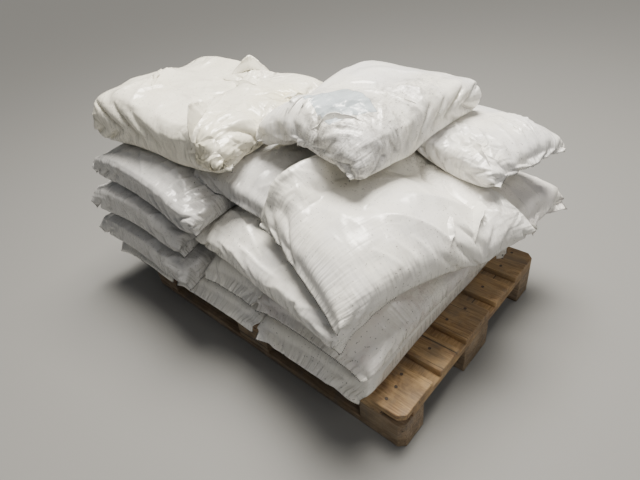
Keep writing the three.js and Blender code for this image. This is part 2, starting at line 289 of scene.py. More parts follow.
# %% [markdown]
# ## The wood
# Pallet wood is sawn pine: fibres far longer than wide, slow bands of darker late wood, a few
# knots, paler places where it is worn, fine cracks, and grey dirt rubbed into the faces. Stretching
# a noise along the grain gives the fibres and the cracks, so there is one finish for boards that run
# along X, one for boards along Y, and a greyer one for the blocks. Bump from the same fibres makes
# the light catch them.

# %% Wood finishes
ALONG_X = (1.0, 14.0, 14.0)
ALONG_Y = (14.0, 1.0, 14.0)
CRACK_STRETCH = 1.6
FIBRE_DARK = 0.45
KNOT_DARK = 0.3
WORN_LIGHT = 1.35
OLD_STAIN = (0.25, 0.195, 0.13)
CRACK_COLOUR = (0.05, 0.04, 0.03)
GRIME_COLOUR = (0.16, 0.14, 0.12)
GRAIN_HEIGHT = 0.0022
GRAIN_STRENGTH = 0.9


def make_wood(name, grain, light, dark, dirt):
    wood = Finish(name)
    place = wood.coordinates(scale=grain)
    plain = wood.coordinates()
    bands = wood.noise(place, 3.2, detail=3, distortion=1.6)
    fibres = wood.noise(place, 22.0, detail=6, roughness=0.7)
    blotches = wood.noise(plain, 7.0, detail=3)
    grime = wood.noise(plain, 26.0, detail=6, roughness=0.7)
    knot_place = wood.coordinates(scale=tuple(s / 4 + 3 for s in grain))
    knots = wood.node("ShaderNodeTexVoronoi", Vector=knot_place, Scale=1.3).outputs["Distance"]
    worn = wood.noise(plain, 11.0, detail=5, roughness=0.6, distortion=0.6)
    cracks = wood.noise(wood.coordinates(scale=tuple(s ** CRACK_STRETCH for s in grain)), 1.7, detail=2)
    colour = wood.mix(wood.remap(bands, 0.38, 0.66), scaled(light), scaled(dark))
    colour = wood.mix(wood.remap(fibres, 0.38, 0.68, 0.0, 0.65), colour, scaled(dark, FIBRE_DARK))
    colour = wood.mix(wood.remap(knots, 0.05, 0.12, 0.75, 0.0), colour, scaled(dark, KNOT_DARK))
    colour = wood.mix(wood.remap(worn, 0.50, 0.68, 0.0, 0.6), colour, scaled(light, WORN_LIGHT))
    colour = wood.mix(wood.remap(blotches, 0.42, 0.66, 0.0, 0.55), colour, scaled(OLD_STAIN))
    colour = wood.mix(wood.remap(cracks, 0.66, 0.69, 0.0, 0.85), colour, scaled(CRACK_COLOUR))
    colour = wood.mix(wood.remap(grime, 0.5, 0.72, 0.0, dirt), colour, scaled(GRIME_COLOUR))
    height = wood.math("ADD", wood.math("MULTIPLY", fibres, 0.7), wood.math("MULTIPLY", grime, 0.4))
    return wood.finish(Base_Color=colour, Roughness=wood.remap(fibres, 0.3, 0.7, 0.62, 0.85),
                       Normal=wood.bump(height, GRAIN_HEIGHT, GRAIN_STRENGTH))


HONEY = (0.49, 0.32, 0.15)
LATE_WOOD = (0.24, 0.14, 0.07)
GREY_WOOD = (0.36, 0.265, 0.17)
GREY_LATE_WOOD = (0.19, 0.125, 0.07)
board_finish = make_wood("deck board wood", ALONG_X, HONEY, LATE_WOOD, 0.5)
stringer_finish = make_wood("stringer board wood", ALONG_Y, HONEY, LATE_WOOD, 0.6)
block_finish = make_wood("block wood", ALONG_X, GREY_WOOD, GREY_LATE_WOOD, 0.7)
print("wood finishes:", board_finish.name, stringer_finish.name, block_finish.name)

# %% [markdown]
# ## The pallet's timbers
# The CAD timbers are exact prisms, and real ones are not: saws leave a small round on each edge,
# and boards twist a little and chip. A copy of each CAD mesh is merged, its edges are bevelled, it
# is cut across every few centimetres, a slow noise moves the new points by about a millimetre, and
# a quick one takes chips off the edges. Blender's noise vectors start from the clock unless they
# are given a seed, so they get one first. The copy then stands for its node, so the frame itself is
# never changed.

# %% Make the timbers
EDGE_ROUND = 0.0028
CUT_STEP = 0.045
TWIST = 0.0011
TWIST_SCALE = 6.0
CHIP = 0.0035
CHIP_SCALE = 60.0
CHIP_FROM = 0.25
JOIN_WITHIN = 1e-5
FLAT_WITHIN = radians(1)
EDGE_STEPS = 2
EDGE_PROFILE = 0.6
SHARP_FROM = radians(38)
TWIST_SEED = 3


def merged_copy(name):
    """The CAD node's mesh with its loose triangles joined, as a bmesh."""
    shape = bmesh.new()
    shape.from_mesh(nodes[name].data)
    shape.transform(nodes[name].matrix_world)
    bmesh.ops.remove_doubles(shape, verts=shape.verts, dist=JOIN_WITHIN)
    bmesh.ops.dissolve_limit(shape, angle_limit=FLAT_WITHIN, verts=shape.verts, edges=shape.edges)
    return shape


def cut_across(shape, low, high):
    """Cuts the shape with planes square to its longest side."""
    axis = max(range(3), key=lambda k: high[k] - low[k])
    normal = Vector([1.0 if k == axis else 0.0 for k in range(3)])
    for step in range(1, int((high[axis] - low[axis]) / CUT_STEP)):
        place = Vector(low)
        place[axis] += step * CUT_STEP
        everything = shape.verts[:] + shape.edges[:] + shape.faces[:]
        bmesh.ops.bisect_plane(shape, geom=everything, plane_co=place, plane_no=normal)


def roughen(shape, low, high):
    """Twists the shape a little and takes chips off its edges."""
    middle = (Vector(low) + Vector(high)) / 2
    for corner in shape.verts:
        slow = noise.noise_vector(corner.co * TWIST_SCALE) * TWIST
        quick = noise.noise(corner.co * CHIP_SCALE)
        to_faces = [min(corner.co[k] - low[k], high[k] - corner.co[k]) for k in range(3)]
        on_edge = sum(away < EDGE_ROUND * 2 for away in to_faces) >= 2
        if on_edge and quick > CHIP_FROM:
            corner.co += (middle - corner.co).normalized() * CHIP * quick
        corner.co += slow


def make_timber(name, finish):
    low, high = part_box(name)
    shape = merged_copy(name)
    bmesh.ops.bevel(shape, geom=shape.edges[:], offset=EDGE_ROUND, segments=EDGE_STEPS,
                    profile=EDGE_PROFILE, affect="EDGES", clamp_overlap=True)
    cut_across(shape, low, high)
    roughen(shape, low, high)
    bmesh.ops.triangulate(shape, faces=shape.faces[:])
    bmesh.ops.recalc_face_normals(shape, faces=shape.faces[:])
    mesh = bpy.data.meshes.new(name + "_timber")
    shape.to_mesh(mesh)
    shape.free()
    mesh.shade_smooth()
    mesh.set_sharp_from_angle(angle=SHARP_FROM)
    mesh.materials.append(finish)
    piece = add_object(name + "_timber", mesh)
    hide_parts(name)
    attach(piece, "root")


TIMBERS = {
    "deck_board": (board_finish, "deck_wood"),
    "stringer_board": (stringer_finish, "deck_wood"),
    "block": (block_finish, "block_wood"),
    "bottom_board": (block_finish, "block_wood"),
}
noise.seed_set(TWIST_SEED)
for prefix, (finish, slot) in TIMBERS.items():
    for name in [n for n in nodes if n.startswith(prefix)]:
        make_timber(name, finish)
timber_count = sum(o.name.endswith("_timber") for o in bpy.data.objects)
print("timbers:", timber_count, round(time.time() - started, 1), "s")

# %% [markdown]
# ## The nails
# Each deck board is nailed down over each stringer. A nail repeats many times, so Geometry Nodes
# place it: a mesh that has only points marks the places, and the tree puts a flat round head on
# each, with a fixed seed for how far it is driven in. The tree ends in Realize Instances and Set
# Material, and its result becomes a plain mesh.

# %% A Geometry Nodes tree as a recipe


class NodeRecipe(Graph):
    """A Geometry Nodes tree under construction, with named inputs."""

    def __init__(self, name):
        super().__init__(bpy.data.node_groups.new(name, "GeometryNodeTree"))
        self.tree.interface.new_socket("Geometry", in_out="INPUT", socket_type="NodeSocketGeometry")
        self.tree.interface.new_socket("Geometry", in_out="OUTPUT", socket_type="NodeSocketGeometry")
        self.start = self.tree.nodes.new("NodeGroupInput")
        self.end = self.tree.nodes.new("NodeGroupOutput")

    def input(self, name, kind="NodeSocketFloat"):
        socket = self.tree.interface.new_socket(name, in_out="INPUT", socket_type=kind)
        return socket.identifier

    def close(self, geometry, material):
        real = self.node("GeometryNodeRealizeInstances", Geometry=geometry)
        painted = self.node("GeometryNodeSetMaterial", Geometry=real.outputs[0], Material=material)
        self.plug(self.end.inputs[0], painted.outputs[0])


def run_recipe(recipe, carrier_mesh, values):
    """Runs a tree on a carrier mesh and returns its result as a plain mesh."""
    carrier = add_object(carrier_mesh.name, carrier_mesh)
    modifier = carrier.modifiers.new(recipe.tree.name, "NODES")
    modifier.node_group = recipe.tree
    for identifier, value in values.items():
        modifier[identifier] = value
    solved = carrier.evaluated_get(bpy.context.evaluated_depsgraph_get())
    mesh = bpy.data.meshes.new_from_object(solved)
    carrier.modifiers.remove(modifier)
    bpy.data.objects.remove(carrier)
    return mesh


print("recipe helpers:", [name for name in vars(NodeRecipe) if not name.startswith("_")])

# %% Nail heads with Geometry Nodes
NAIL_RADIUS = 0.0048
NAIL_HEIGHT = 0.0016
NAIL_SIDES = 14
NAIL_SPREAD = (0.002, 0.002, 0.0006)
NAIL_COLOUR = (0.075, 0.055, 0.045)
NAIL_ROUGHNESS = 0.55
NAIL_SEED = 4
NAIL_ROWS = {
    "deck_board_1": [(0.005, -0.045), (0.0, 0.0), (-0.008, 0.042)],
    "deck_board_2": [(0.004, 0.003)],
    "deck_board_3": [(-0.012, -0.034), (0.010, 0.036)],
    "deck_board_4": [(0.006, -0.004)],
    "deck_board_5": [(0.006, -0.042), (-0.010, 0.0), (0.004, 0.044)],
}


def nail_places():
    """Where the nails sit: a row on each deck board, over the middle of each stringer board."""
    places = []
    for board, row in NAIL_ROWS.items():
        low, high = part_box(board)
        for stringer in [n for n in nodes if n.startswith("stringer_board")]:
            left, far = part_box(stringer)
            centre = ((left[0] + far[0]) / 2, (low[1] + high[1]) / 2, high[2])
            places.extend((centre[0] + x, centre[1] + y, centre[2]) for x, y in row)
    return places


nail_recipe = NodeRecipe("nail heads")
radius_id = nail_recipe.input("Radius")
height_id = nail_recipe.input("Height")
seed_id = nail_recipe.input("Seed", "NodeSocketInt")
start = nail_recipe.start.outputs
head = nail_recipe.node("GeometryNodeMeshCylinder", Vertices=NAIL_SIDES, Radius=start["Radius"],
                        Depth=start["Height"])
driven = nail_recipe.node("FunctionNodeRandomValue", {"data_type": "FLOAT_VECTOR"}, Seed=start["Seed"])
driven.inputs["Min"].default_value = tuple(-most for most in NAIL_SPREAD)
driven.inputs["Max"].default_value = NAIL_SPREAD
shifted = nail_recipe.node("GeometryNodeSetPosition", Geometry=start["Geometry"],
                           Offset=driven.outputs[0])
placed = nail_recipe.node("GeometryNodeInstanceOnPoints", Points=shifted.outputs[0],
                          Instance=head.outputs[0])
nail_recipe.close(placed.outputs[0], plain_finish("rusty nail", NAIL_COLOUR, NAIL_ROUGHNESS))

nail_marks = bpy.data.meshes.new("nail places")
nail_marks.from_pydata(nail_places(), [], [])
nail_inputs = {radius_id: NAIL_RADIUS, height_id: NAIL_HEIGHT, seed_id: NAIL_SEED}
nails = add_object("nail_heads", run_recipe(nail_recipe, nail_marks, nail_inputs))
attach(nails, "root")
print("nails:", len(nails.data.vertices) // (2 * NAIL_SIDES))

# %% [markdown]
# ## The shape a sack wraps
# The filling gives each sack its broad shape, and the CAD solid holds it. The film is a tube, so
# its mesh is a grid too: rows go round the sack, columns run from one sealed end to the other. A
# place on a sack is given by two shares: u runs from -1 at one end to 1 at the other, and v from -1
# at one side to 1 at the other. To turn them into a place in plan, a sack needs its direction and
# its four corners, which are the solid's outermost points.

# %% Which way each sack lies
SACKS_ALONG_Y = ("sack_1", "sack_2_right", "sack_2_middle", "sack_4_middle")
TURNED_SACKS = {"sack_4_right_front": 72, "sack_4_right_back": -8, "sack_top_left": 4,
                "sack_top_right": 86, "sack_3_right_front": -6, "sack_3_right_back": -5}


def sack_turn(name):
    """The angle of a sack's long side from +X, in radians."""
    usual = 90 if name.startswith(SACKS_ALONG_Y) else 0
    return radians(TURNED_SACKS.get(name, usual))


def world_points(node):
    """The node's points in metres, as rows of x, y and z."""
    points = np.empty(len(node.data.vertices) * 3)
    node.data.vertices.foreach_get("co", points)
    matrix = np.array(node.matrix_world)
    return points.reshape(-1, 3) @ matrix[:3, :3].T + matrix[:3, 3]


def corner_points(name):
    """The sack's four plan corners, keyed by which end and which side they are on."""
    points = world_points(nodes[name])[:, :2]
    turn = sack_turn(name)
    along = np.array((cos(turn), sin(turn)))
    across = np.array((-sin(turn), cos(turn)))
    return {(end, side): points[np.argmax(points @ (end * along + side * across))]
            for end in (-1, 1) for side in (-1, 1)}


sack_names = [name for name in nodes if name.startswith("sack")]
print("sacks:", len(sack_names), "first corner:", corner_points(sack_names[0])[-1, -1].round(3))

# %% [markdown]
# ### The plan grid
# A filled sack isn't a rectangle in plan: its ends are drawn in by the seals and its long sides run
# in a little at the waist. Film has the same size everywhere, so a second helper spreads the points
# of a line evenly by the distance along it.

# %% A plan grid with its outline pulled in
END_PULL = 0.025
WAIST_PULL = 0.05
INSIDE = 0.998


def plan_grid(corners, u, v):
    """Plan places for u from end to end and v from side to side, with the outline pulled in."""
    spread = sum(corners[end, side] * ((1 + end * u) * (1 + side * v) / 4)[..., None]
                 for end, side in corners)
    along = (corners[1, 1] + corners[1, -1] - corners[-1, 1] - corners[-1, -1]) / 4
    across = (corners[1, 1] + corners[-1, 1] - corners[1, -1] - corners[-1, -1]) / 4
    end_pull = (u * END_PULL * (1 - v * v))[..., None]
    waist_pull = (v * WAIST_PULL * (1 - u * u))[..., None]
    middle = sum(corners.values()) / 4
    return middle + (spread - along * end_pull - across * waist_pull - middle) * INSIDE


def plan_place(corners, u, v):
    """The plan place of one pair of shares."""
    return plan_grid(corners, np.array([u]), np.array([v]))[0]


def spread_evenly(line, steps):
    """The same line with its points spread evenly along it."""
    walked = np.concatenate([[0], np.cumsum(np.linalg.norm(np.diff(line, axis=0), axis=1))])
    wanted = np.linspace(0, walked[-1], steps + 1)
    return np.stack([np.interp(wanted, walked, line[:, k]) for k in range(3)], axis=1)


print("spread evenly:", spread_evenly(np.array([[0, 0, 0], [0, 0, 1], [0, 3, 1]]), 4).tolist())

# %% [markdown]
# ### From the solid to a tube
# For each grid point one ray from above and one from below find the solid's top and its underside.
# Where they come closer than the sack's wall is high, they are pushed apart again. One setting draws
# a side in: it gives the side, 1 or -1, the u where it is drawn in most, how far that reaches along
# u, and by what share. Then the points are spread evenly along the sack and round it.

# %% The solid's two sides and the tube round it
FINE_GRID = (152, 112)
USUAL_GRID = (104, 80)
HIDDEN_GRID = (72, 56)
WALL_POWER = 8
RAY_TOP = 3.0
RAY_FLOOR = -1.0
DOWN = Vector((0, 0, -1))
UP = Vector((0, 0, 1))


def surface_grids(name, settings):
    """The solid's upper and under side over the plan grid, kept apart by the sack's walls."""
    points = world_points(nodes[name])
    faces = [tuple(face.vertices) for face in nodes[name].data.polygons]
    tree = BVHTree.FromPolygons([Vector(point) for point in points], faces)
    u, v = (np.sin(np.linspace(-1, 1, steps + 1) * np.pi / 2) for steps in settings["grid"])
    u, v = np.meshgrid(u, v, indexing="ij")
    side, centre, reach, pull = settings["drawn_in"]
    drawn = v * (1 - pull * np.exp(-((u - centre) / reach) ** 2) * (v * side > 0))
    plan = plan_grid(corner_points(name), u, drawn)
    mean_height = float(points[:, 2].mean())
    upper = np.empty(plan.shape[:2])
    under = np.empty(plan.shape[:2])
    for place in np.ndindex(upper.shape):
        x, y = plan[place]
        hit = tree.ray_cast(Vector((x, y, RAY_TOP)), DOWN)[0]
        low_hit = tree.ray_cast(Vector((x, y, RAY_FLOOR)), UP)[0]
        if hit is None or low_hit is None:
            hit = low_hit = tree.find_nearest(Vector((x, y, mean_height)))[0]
        upper[place], under[place] = hit.z, low_hit.z
    side_wall = settings["side_wall"] * np.sqrt(1 - np.abs(u) ** WALL_POWER)
    wall = np.maximum(side_wall, settings["end_wall"])
    short = np.clip(wall - (upper - under), 0, None)
    upper += short / 2
    under -= short / 2
    return np.dstack([plan, upper]), np.dstack([plan, under])


def wrap_tube(name, settings):
    """A tube grid round the solid, with its points spread evenly along and round it."""
    rows, columns = settings["grid"]
    upper, under = surface_grids(name, settings)
    middle = (upper + under) / 2
    rings = []
    for row in range(rows + 1):
        left, right = middle[row, :1], middle[row, -1:]
        over = spread_evenly(np.vstack([left, upper[row], right]), columns)
        back = spread_evenly(np.vstack([right, under[row, ::-1], left]), columns)
        rings.append(np.vstack([over[:-1], back[:-1]]))
    seals = []
    for row in (0, -1):
        seal = spread_evenly(middle[row], columns)
        seals.append(np.vstack([seal[:-1], seal[:0:-1]]))
    tube = np.stack([seals[0], *rings, seals[1]])
    return np.stack([spread_evenly(tube[:, k], rows) for k in range(2 * columns)], axis=1)


print("points on a fine grid:", (FINE_GRID[0] + 1) * 2 * FINE_GRID[1])

# %% [markdown]
# ## The film
# Blender's Cloth could relax the film, but eighteen sacks would take many minutes. On a regular
# grid the same idea is a few array operations, so each sack takes a second or two: every link
# between two neighbouring points is pulled to its flat length, over and over, while a slow pull
# keeps the broad shape on the filling. Where the film is larger than the shape it wraps, it can
# only buckle, and that makes the folds. Starting on a coarse grid and refining it lets long folds
# form before short ones, as in real film. The first helpers blur a grid that is closed round the
# tube, find its normals and make it twice as fine.

# %% Helpers for a tube grid
NEVER_ZERO = 1e-9


def box_blur(grid, reach, axis):
    """A running mean, closed round the tube on axis 1 and held at the ends on axis 0."""
    if axis == 1:
        padded = np.concatenate([grid[:, -reach:], grid, grid[:, :reach]], axis=1)
    else:
        padded = np.concatenate([np.repeat(grid[:1], reach, 0), grid, np.repeat(grid[-1:], reach, 0)])
    total = np.cumsum(padded, axis=axis)
    total = np.insert(total, 0, 0, axis=axis)
    width = 2 * reach + 1
    high = np.take(total, range(width, total.shape[axis]), axis=axis)
    low = np.take(total, range(0, total.shape[axis] - width), axis=axis)
    return (high - low) / width


def blur(grid, reach):
    for axis in (0, 1, 0, 1):
        grid = box_blur(grid, reach, axis)
    return grid


def outward(film):
    """Unit normals of the tube grid."""
    along = np.gradient(film, axis=0)
    around = (np.roll(film, -1, axis=1) - np.roll(film, 1, axis=1)) / 2
    normals = np.cross(along, around)
    return normals / (np.linalg.norm(normals, axis=-1, keepdims=True) + NEVER_ZERO)


def refine(film):
    """The same film on a grid twice as fine."""
    finer = np.empty((2 * film.shape[0] - 1, 2 * film.shape[1], 3))
    finer[::2, ::2] = film
    finer[::2, 1::2] = (film + np.roll(film, -1, axis=1)) / 2
    finer[1::2] = (finer[:-1:2] + finer[2::2]) / 2
    return finer


print("a grid of 3 by 4 refined:", refine(np.zeros((3, 4, 3))).shape[:2])

# %% [markdown]
# ### Pull every link to its length
# Film hardly stretches. Each helper below takes one family of links, along the tube, round it or
# across its squares, and moves both ends of a link half the way to its flat length. It takes every
# second link at a time, so that no point is moved by two of them at once. Links across the squares
# grip less, which lets the film shear a little, as a thin sheet does in small wrinkles.

# %% Pull the links
SHEAR_GRIP = 0.35


def link_pull(first, second, flat_length, grip=1.0):
    """Half the way from first towards second that brings a link back to its flat length."""
    gap = second - first
    length = np.sqrt((gap * gap).sum(axis=-1, keepdims=True)) + NEVER_ZERO
    return gap * ((length - flat_length) / length * 0.5 * grip)


def pull_along(film, flat):
    for first in (0, 1):
        near, far = film[first:-1:2], film[first + 1::2]
        pull = link_pull(near, far, flat[first::2])
        near += pull
        far -= pull


def pull_round(film, flat):
    for first in (0, 1):
        turned = np.roll(film, -first, axis=1)
        pull = link_pull(turned[:, 0::2], turned[:, 1::2], flat[:, first::2])
        turned[:, 0::2] += pull
        turned[:, 1::2] -= pull
        film[:] = np.roll(turned, first, axis=1)


def pull_diagonals(film, flat):
    for slant in (1, -1):
        for first in (0, 1):
            near, far = film[first:-1:2], film[first + 1::2]
            pull = link_pull(near, np.roll(far, -slant, axis=1), flat[first::2], SHEAR_GRIP)
            near += pull
            far -= np.roll(pull, slant, axis=1)


pulled = link_pull(np.zeros(3), np.array([0.0, 0.0, 2.0]), 1.0)
print("each end of a 2 m link with a flat length of 1 m moves", round(float(pulled[2]), 3), "m")

# %% [markdown]
# ### Bend softly and stay creased
# Film resists bending, and that gives its folds their width. A bend that is already sharp resists
# less, because creased film stays creased. Flat lengths are the filling's own, evened out and made
# longer by the spare film. The rows of a sealed end are two layers welded together, so the helper
# that joins them brings each point and its mirror point on the other layer to one place.

# %% Resist bending
SHARP_BEND = 0.0003
EVEN_REACH = 6


def soften(bend, crease):
    """Weakens a bend's resistance where it is already sharp, as a crease in film stays a crease."""
    sharpness = (bend * bend).sum(axis=-1, keepdims=True) / crease ** 2
    return bend / (1 + sharpness)


def resist_bending(film, stiffness, crease):
    along = soften((film[:-2] + film[2:]) / 2 - film[1:-1], crease) * stiffness
    film[1:-1] += along
    film[:-2] -= along / 2
    film[2:] -= along / 2
    around = (np.roll(film, 1, axis=1) + np.roll(film, -1, axis=1)) / 2 - film
    around = soften(around, crease) * stiffness
    film += around - (np.roll(around, 1, axis=1) + np.roll(around, -1, axis=1)) / 2


def flat_lengths(filling, slack):
    """Each link's flat length: what the filling needs there, and the slack on top of it."""
    along = np.linalg.norm(np.diff(filling, axis=0), axis=-1, keepdims=True)
    around = np.linalg.norm(np.roll(filling, -1, axis=1) - filling, axis=-1, keepdims=True)
    along = blur(along, EVEN_REACH) * (1 + slack[:-1, :, :1])
    around = blur(around, EVEN_REACH) * (1 + slack[:, :, 1:])
    return along, around


def join_flaps(film, rows):
    """Brings the two layers together in the sealed rows at both ends."""
    mirror = (-np.arange(film.shape[1])) % film.shape[1]
    for part in (film[:rows], film[-rows:]):
        part[:] = (part + part[:, mirror]) / 2


print("a bend of the sharp size keeps", soften(np.array([1.0, 0.0, 0.0]), 1.0)[0], "of its resistance")

# %% Relax one grid level
FLAP_ROWS = 6
PULL_EVERY = 3
LEVELS = (4, 2, 1)


def relax(film, filling, slack, settings, level):
    """Lets the film find its folds round the filling, on one grid level."""
    flat_along, flat_round = flat_lengths(filling, slack[::level, ::level])
    diagonal = np.hypot(flat_along, flat_round[:-1])
    sealed = max(1, FLAP_ROWS // level + 1)
    for step in range(settings["rounds"]):
        pull_along(film, flat_along)
        pull_round(film, flat_round)
        pull_diagonals(film, diagonal)
        resist_bending(film, settings["stiff"], SHARP_BEND * level)
        film += outward(film) * settings["swell"] * level
        if step % PULL_EVERY == 0:
            film -= blur(film - filling, max(1, settings["reach"] // level)) * settings["hold"]
        join_flaps(film, sealed)


print("grid levels, coarse to fine:", LEVELS)

# %% [markdown]
# ## The film's finish
# Sack film is white and satin, and up close it is never smooth. It crinkles everywhere, near a
# sealed end its fine creases run straight in from the seal, along a side they run across it, and a
# crumpled place breaks up into small facets. A bump can show all of these. The straight creases read
# the film's own map, in metres along and round the tube, so they turn with the sack. Numbers stored
# on the points, called marks here, say how near a seal or a side a point is and how crumpled it is.
# Side creases stay out of the sealed ends, because crossing creases look like cloth.

# %% The relief of the film
SEAL_STRETCH = (9.0, 85.0, 1.0)
SIDE_STRETCH = (70.0, 14.0, 1.0)
CRUMPLE_CELL = 42.0
FACET_CELL = 21.0


def film_relief(film, crinkle):
    """The height of the film's fine creases: straight near a seal, crumpled where the sack is."""
    flat_place = film.coordinates("UV")
    place = film.coordinates()
    seal_place = film.coordinates("UV", scale=SEAL_STRETCH)
    side_place = film.coordinates("UV", scale=SIDE_STRETCH)
    from_seal = film.noise(seal_place, 1.0, detail=1.5, roughness=0.5)
    from_side = film.noise(side_place, 1.0, detail=1.0, roughness=0.5)
    slack = film.ridges(flat_place, 8.0, detail=1.0, distortion=0.9)
    small = film.ridges(film.warped(place, 5.0, 0.12), 26.0, detail=1.0, distortion=0.4)
    crumple = film.ridges(film.warped(place, 14.0, 0.05), CRUMPLE_CELL, detail=1.0)
    facets = film.node("ShaderNodeTexVoronoi", {"feature": "DISTANCE_TO_EDGE"},
                       Vector=film.warped(place, 8.0, 0.09), Scale=FACET_CELL).outputs["Distance"]
    near_seal = film.attribute("near_seal")
    near_side = film.remap(film.attribute("near_side"), 0.0, 1.0, 0.0, 2.4)
    side_share = film.math("MULTIPLY", near_side, film.remap(near_seal, 0.1, 0.5, 1.0, 0.0))
    height = film.math("MULTIPLY", from_seal, film.remap(near_seal, 0.0, 1.0, 0.1, 2.6))
    height = film.math("ADD", height, film.math("MULTIPLY", from_side, side_share))
    height = film.math("ADD", height, film.math("MULTIPLY", slack, 2.2 * crinkle))
    height = film.math("ADD", height, film.math("MULTIPLY", small, 0.32 * crinkle))
    sharp = film.remap(facets, 0.0, 0.22, 0.0, 2.6)
    folded = film.math("ADD", film.math("MULTIPLY", crumple, 0.8), sharp)
    return film.math("ADD", height, film.math("MULTIPLY", folded, film.attribute("crumple")))


print("a crease from a seal is", round(SEAL_STRETCH[1] / SEAL_STRETCH[0], 1), "times as long as wide")

# %% [markdown]
# ### Dirt, yellowing and a label
# White film shows every touch. Clouds of a slightly greyer white break up the surface, smears lie in
# patches and get thicker where a sack was gripped, short dark streaks lie in the grime, and there are
# a few specks. They read the place in space, because dirt ignores where one sack ends and the next
# begins. The mark for the label is a distance to its outline, so one finish can draw its plain field
# and its thin edge sharply, and the painted shade inside a hole in the same way.

# %% Film finishes
WHITE_FILM = (0.88, 0.855, 0.775)
GREYER_FILM = (0.80, 0.785, 0.75)
DUSTY_SHADE = (0.80, 0.77, 0.75)
SCUFFED_SHADE = (0.79, 0.78, 0.77)
# Painted shade: the sacks at the near left and in the middle lie in shade, so their film is a darker
# grey.
PAINTED_SHADE_TINT = (0.60, 0.592, 0.575)
PAINTED_SHADE_CLOUDS = (0.51, 0.505, 0.495)
AGED_FILM = (0.89, 0.855, 0.74)
AGED_SHADE = (0.82, 0.785, 0.66)
DUST_BROWN = (0.30, 0.26, 0.22)
DUST_PINK = (0.50, 0.40, 0.37)
DIRT_GREY = (0.16, 0.15, 0.14)
YELLOWED = (0.84, 0.76, 0.50)
STREAK_COLOUR = (0.10, 0.09, 0.08)
SPECK_COLOUR = (0.11, 0.10, 0.09)
LABEL_COLOUR = (0.47, 0.54, 0.59)
LABEL_EDGE_COLOUR = (0.18, 0.20, 0.21)
LABEL_COVER = 0.9
LABEL_EDGE_WIDTH = 0.003
# Painted shade: the near black inside the hole in the yellowed sack.
HOLE_SHADE_COLOUR = (0.02, 0.02, 0.02)
CREASE_RELIEF = 0.0040


def dirty(film, colour, marks, mark_share):
    """The film's colour under its smears, streaks and specks, and how strong the smears are."""
    place = film.coordinates()
    grime = film.attribute("grime")
    smears = film.noise(place, 24.0, detail=7, roughness=0.68, distortion=0.8)
    streak_place = film.coordinates(scale=(1.0, 1.0, 3.0))
    streaks = film.noise(streak_place, 60.0, detail=6, roughness=0.75, distortion=1.5)
    specks = film.noise(place, 170.0, detail=1)
    patches = film.noise(place, 3.5, detail=2)
    dirt_share = film.math("ADD", film.remap(patches, 0.42, 0.7, 0.0, mark_share), grime)
    smear_share = film.math("MULTIPLY", film.remap(smears, 0.46, 0.72), dirt_share)
    streak_share = film.math("MULTIPLY", film.remap(streaks, 0.5, 0.68), grime)
    speck_patches = film.remap(patches, 0.35, 0.65, 0.15, 0.8)
    speck_share = film.math("MULTIPLY", film.remap(specks, 0.68, 0.74), speck_patches)
    aged_share = film.remap(smears, 0.38, 0.6, 0.3, 1.0)
    yellowed = film.math("MULTIPLY", film.attribute("yellow"), aged_share)
    colour = film.mix(yellowed, colour, scaled(YELLOWED))
    colour = film.mix(smear_share, colour, scaled(marks))
    colour = film.mix(streak_share, colour, scaled(STREAK_COLOUR))
    return film.mix(speck_share, colour, scaled(SPECK_COLOUR)), smear_share


def labelled(film, colour):
    """The film's colour with the label's field and edge over it, and the painted shade inside a hole."""
    outside = film.attribute("label")
    edge = film.remap(outside, -LABEL_EDGE_WIDTH, 0.0, 0.0, 0.7)
    field = film.mix(edge, scaled(LABEL_COLOUR), scaled(LABEL_EDGE_COLOUR))
    inside = film.math("MULTIPLY", film.remap(outside, 0.0, 0.0008, 1.0, 0.0), LABEL_COVER)
    in_hole = film.remap(film.attribute("hole"), 0.0, 0.002, 1.0, 0.0)
    return film.mix(in_hole, film.mix(inside, colour, field), scaled(HOLE_SHADE_COLOUR))


def make_film(name, tint, shade, marks, mark_share, crinkle=1.0):
    film = Finish(name)
    clouds = film.noise(film.coordinates(), 6.0, detail=3)
    colour = film.mix(film.remap(clouds, 0.35, 0.65), scaled(tint), scaled(shade))
    colour, smear_share = dirty(film, colour, marks, mark_share)
    dull = film.math("MULTIPLY", smear_share, 0.3)
    rough = film.math("ADD", film.remap(clouds, 0.3, 0.7, 0.20, 0.30), dull)
    relief = film.bump(film_relief(film, crinkle), CREASE_RELIEF)
    return film.finish(Base_Color=labelled(film, colour), Roughness=rough, Normal=relief,
                       Specular_IOR_Level=0.6)


clean_film = make_film("white sack film", WHITE_FILM, GREYER_FILM, DUST_BROWN, 0.25)
dusty_film = make_film("dusty sack film", WHITE_FILM, DUSTY_SHADE, DUST_PINK, 0.55)
scuffed_film = make_film("scuffed sack film", WHITE_FILM, SCUFFED_SHADE, DIRT_GREY, 0.30, 1.4)
# Painted shade: a darker grey copy of the white film, for the sacks that lie in shade.
shade_painted_film = make_film("greyed sack film", PAINTED_SHADE_TINT, PAINTED_SHADE_CLOUDS, DUST_BROWN, 0.4, 1.7)
old_film = make_film("yellowed sack film", AGED_FILM, AGED_SHADE, DUST_BROWN, 0.2, 1.2)
print("film finishes:", [m.name for m in bpy.data.materials if m.name.endswith("sack film")])

# %% [markdown]
# ## Settings for each sack
# Each sack has the same making and its own numbers. The first say how much film it has to spare all
# over, round the sealed ends and along the sides: spare film round an end makes creases that run in
# from the seal, and along a side it makes short tucks. Others say how stiff the film acts, how high
# the walls are and how far the end flaps hang down, in degrees. "stray" is how many shallow creases
# are strewn over it. What sits in a certain place is listed, with places as u and v and all else in
# metres, unless this says otherwise:
#
# - a crease: u and v of its start, u and v of its end, height, width, and its lean, a share of them
# - a standing fold: the same up to the width, then the share of its length where it is highest, and
#   its lean
# - a spot of grime, crumpling or yellowing: u, v, reach, strength
# - the label and a hole: u, v, turn in degrees, half length, half width
# - a torn edge: its rows as shares of the length, its lower and upper column round the tube, how
#   ragged it is in columns, how far it lifts, and how yellow it is

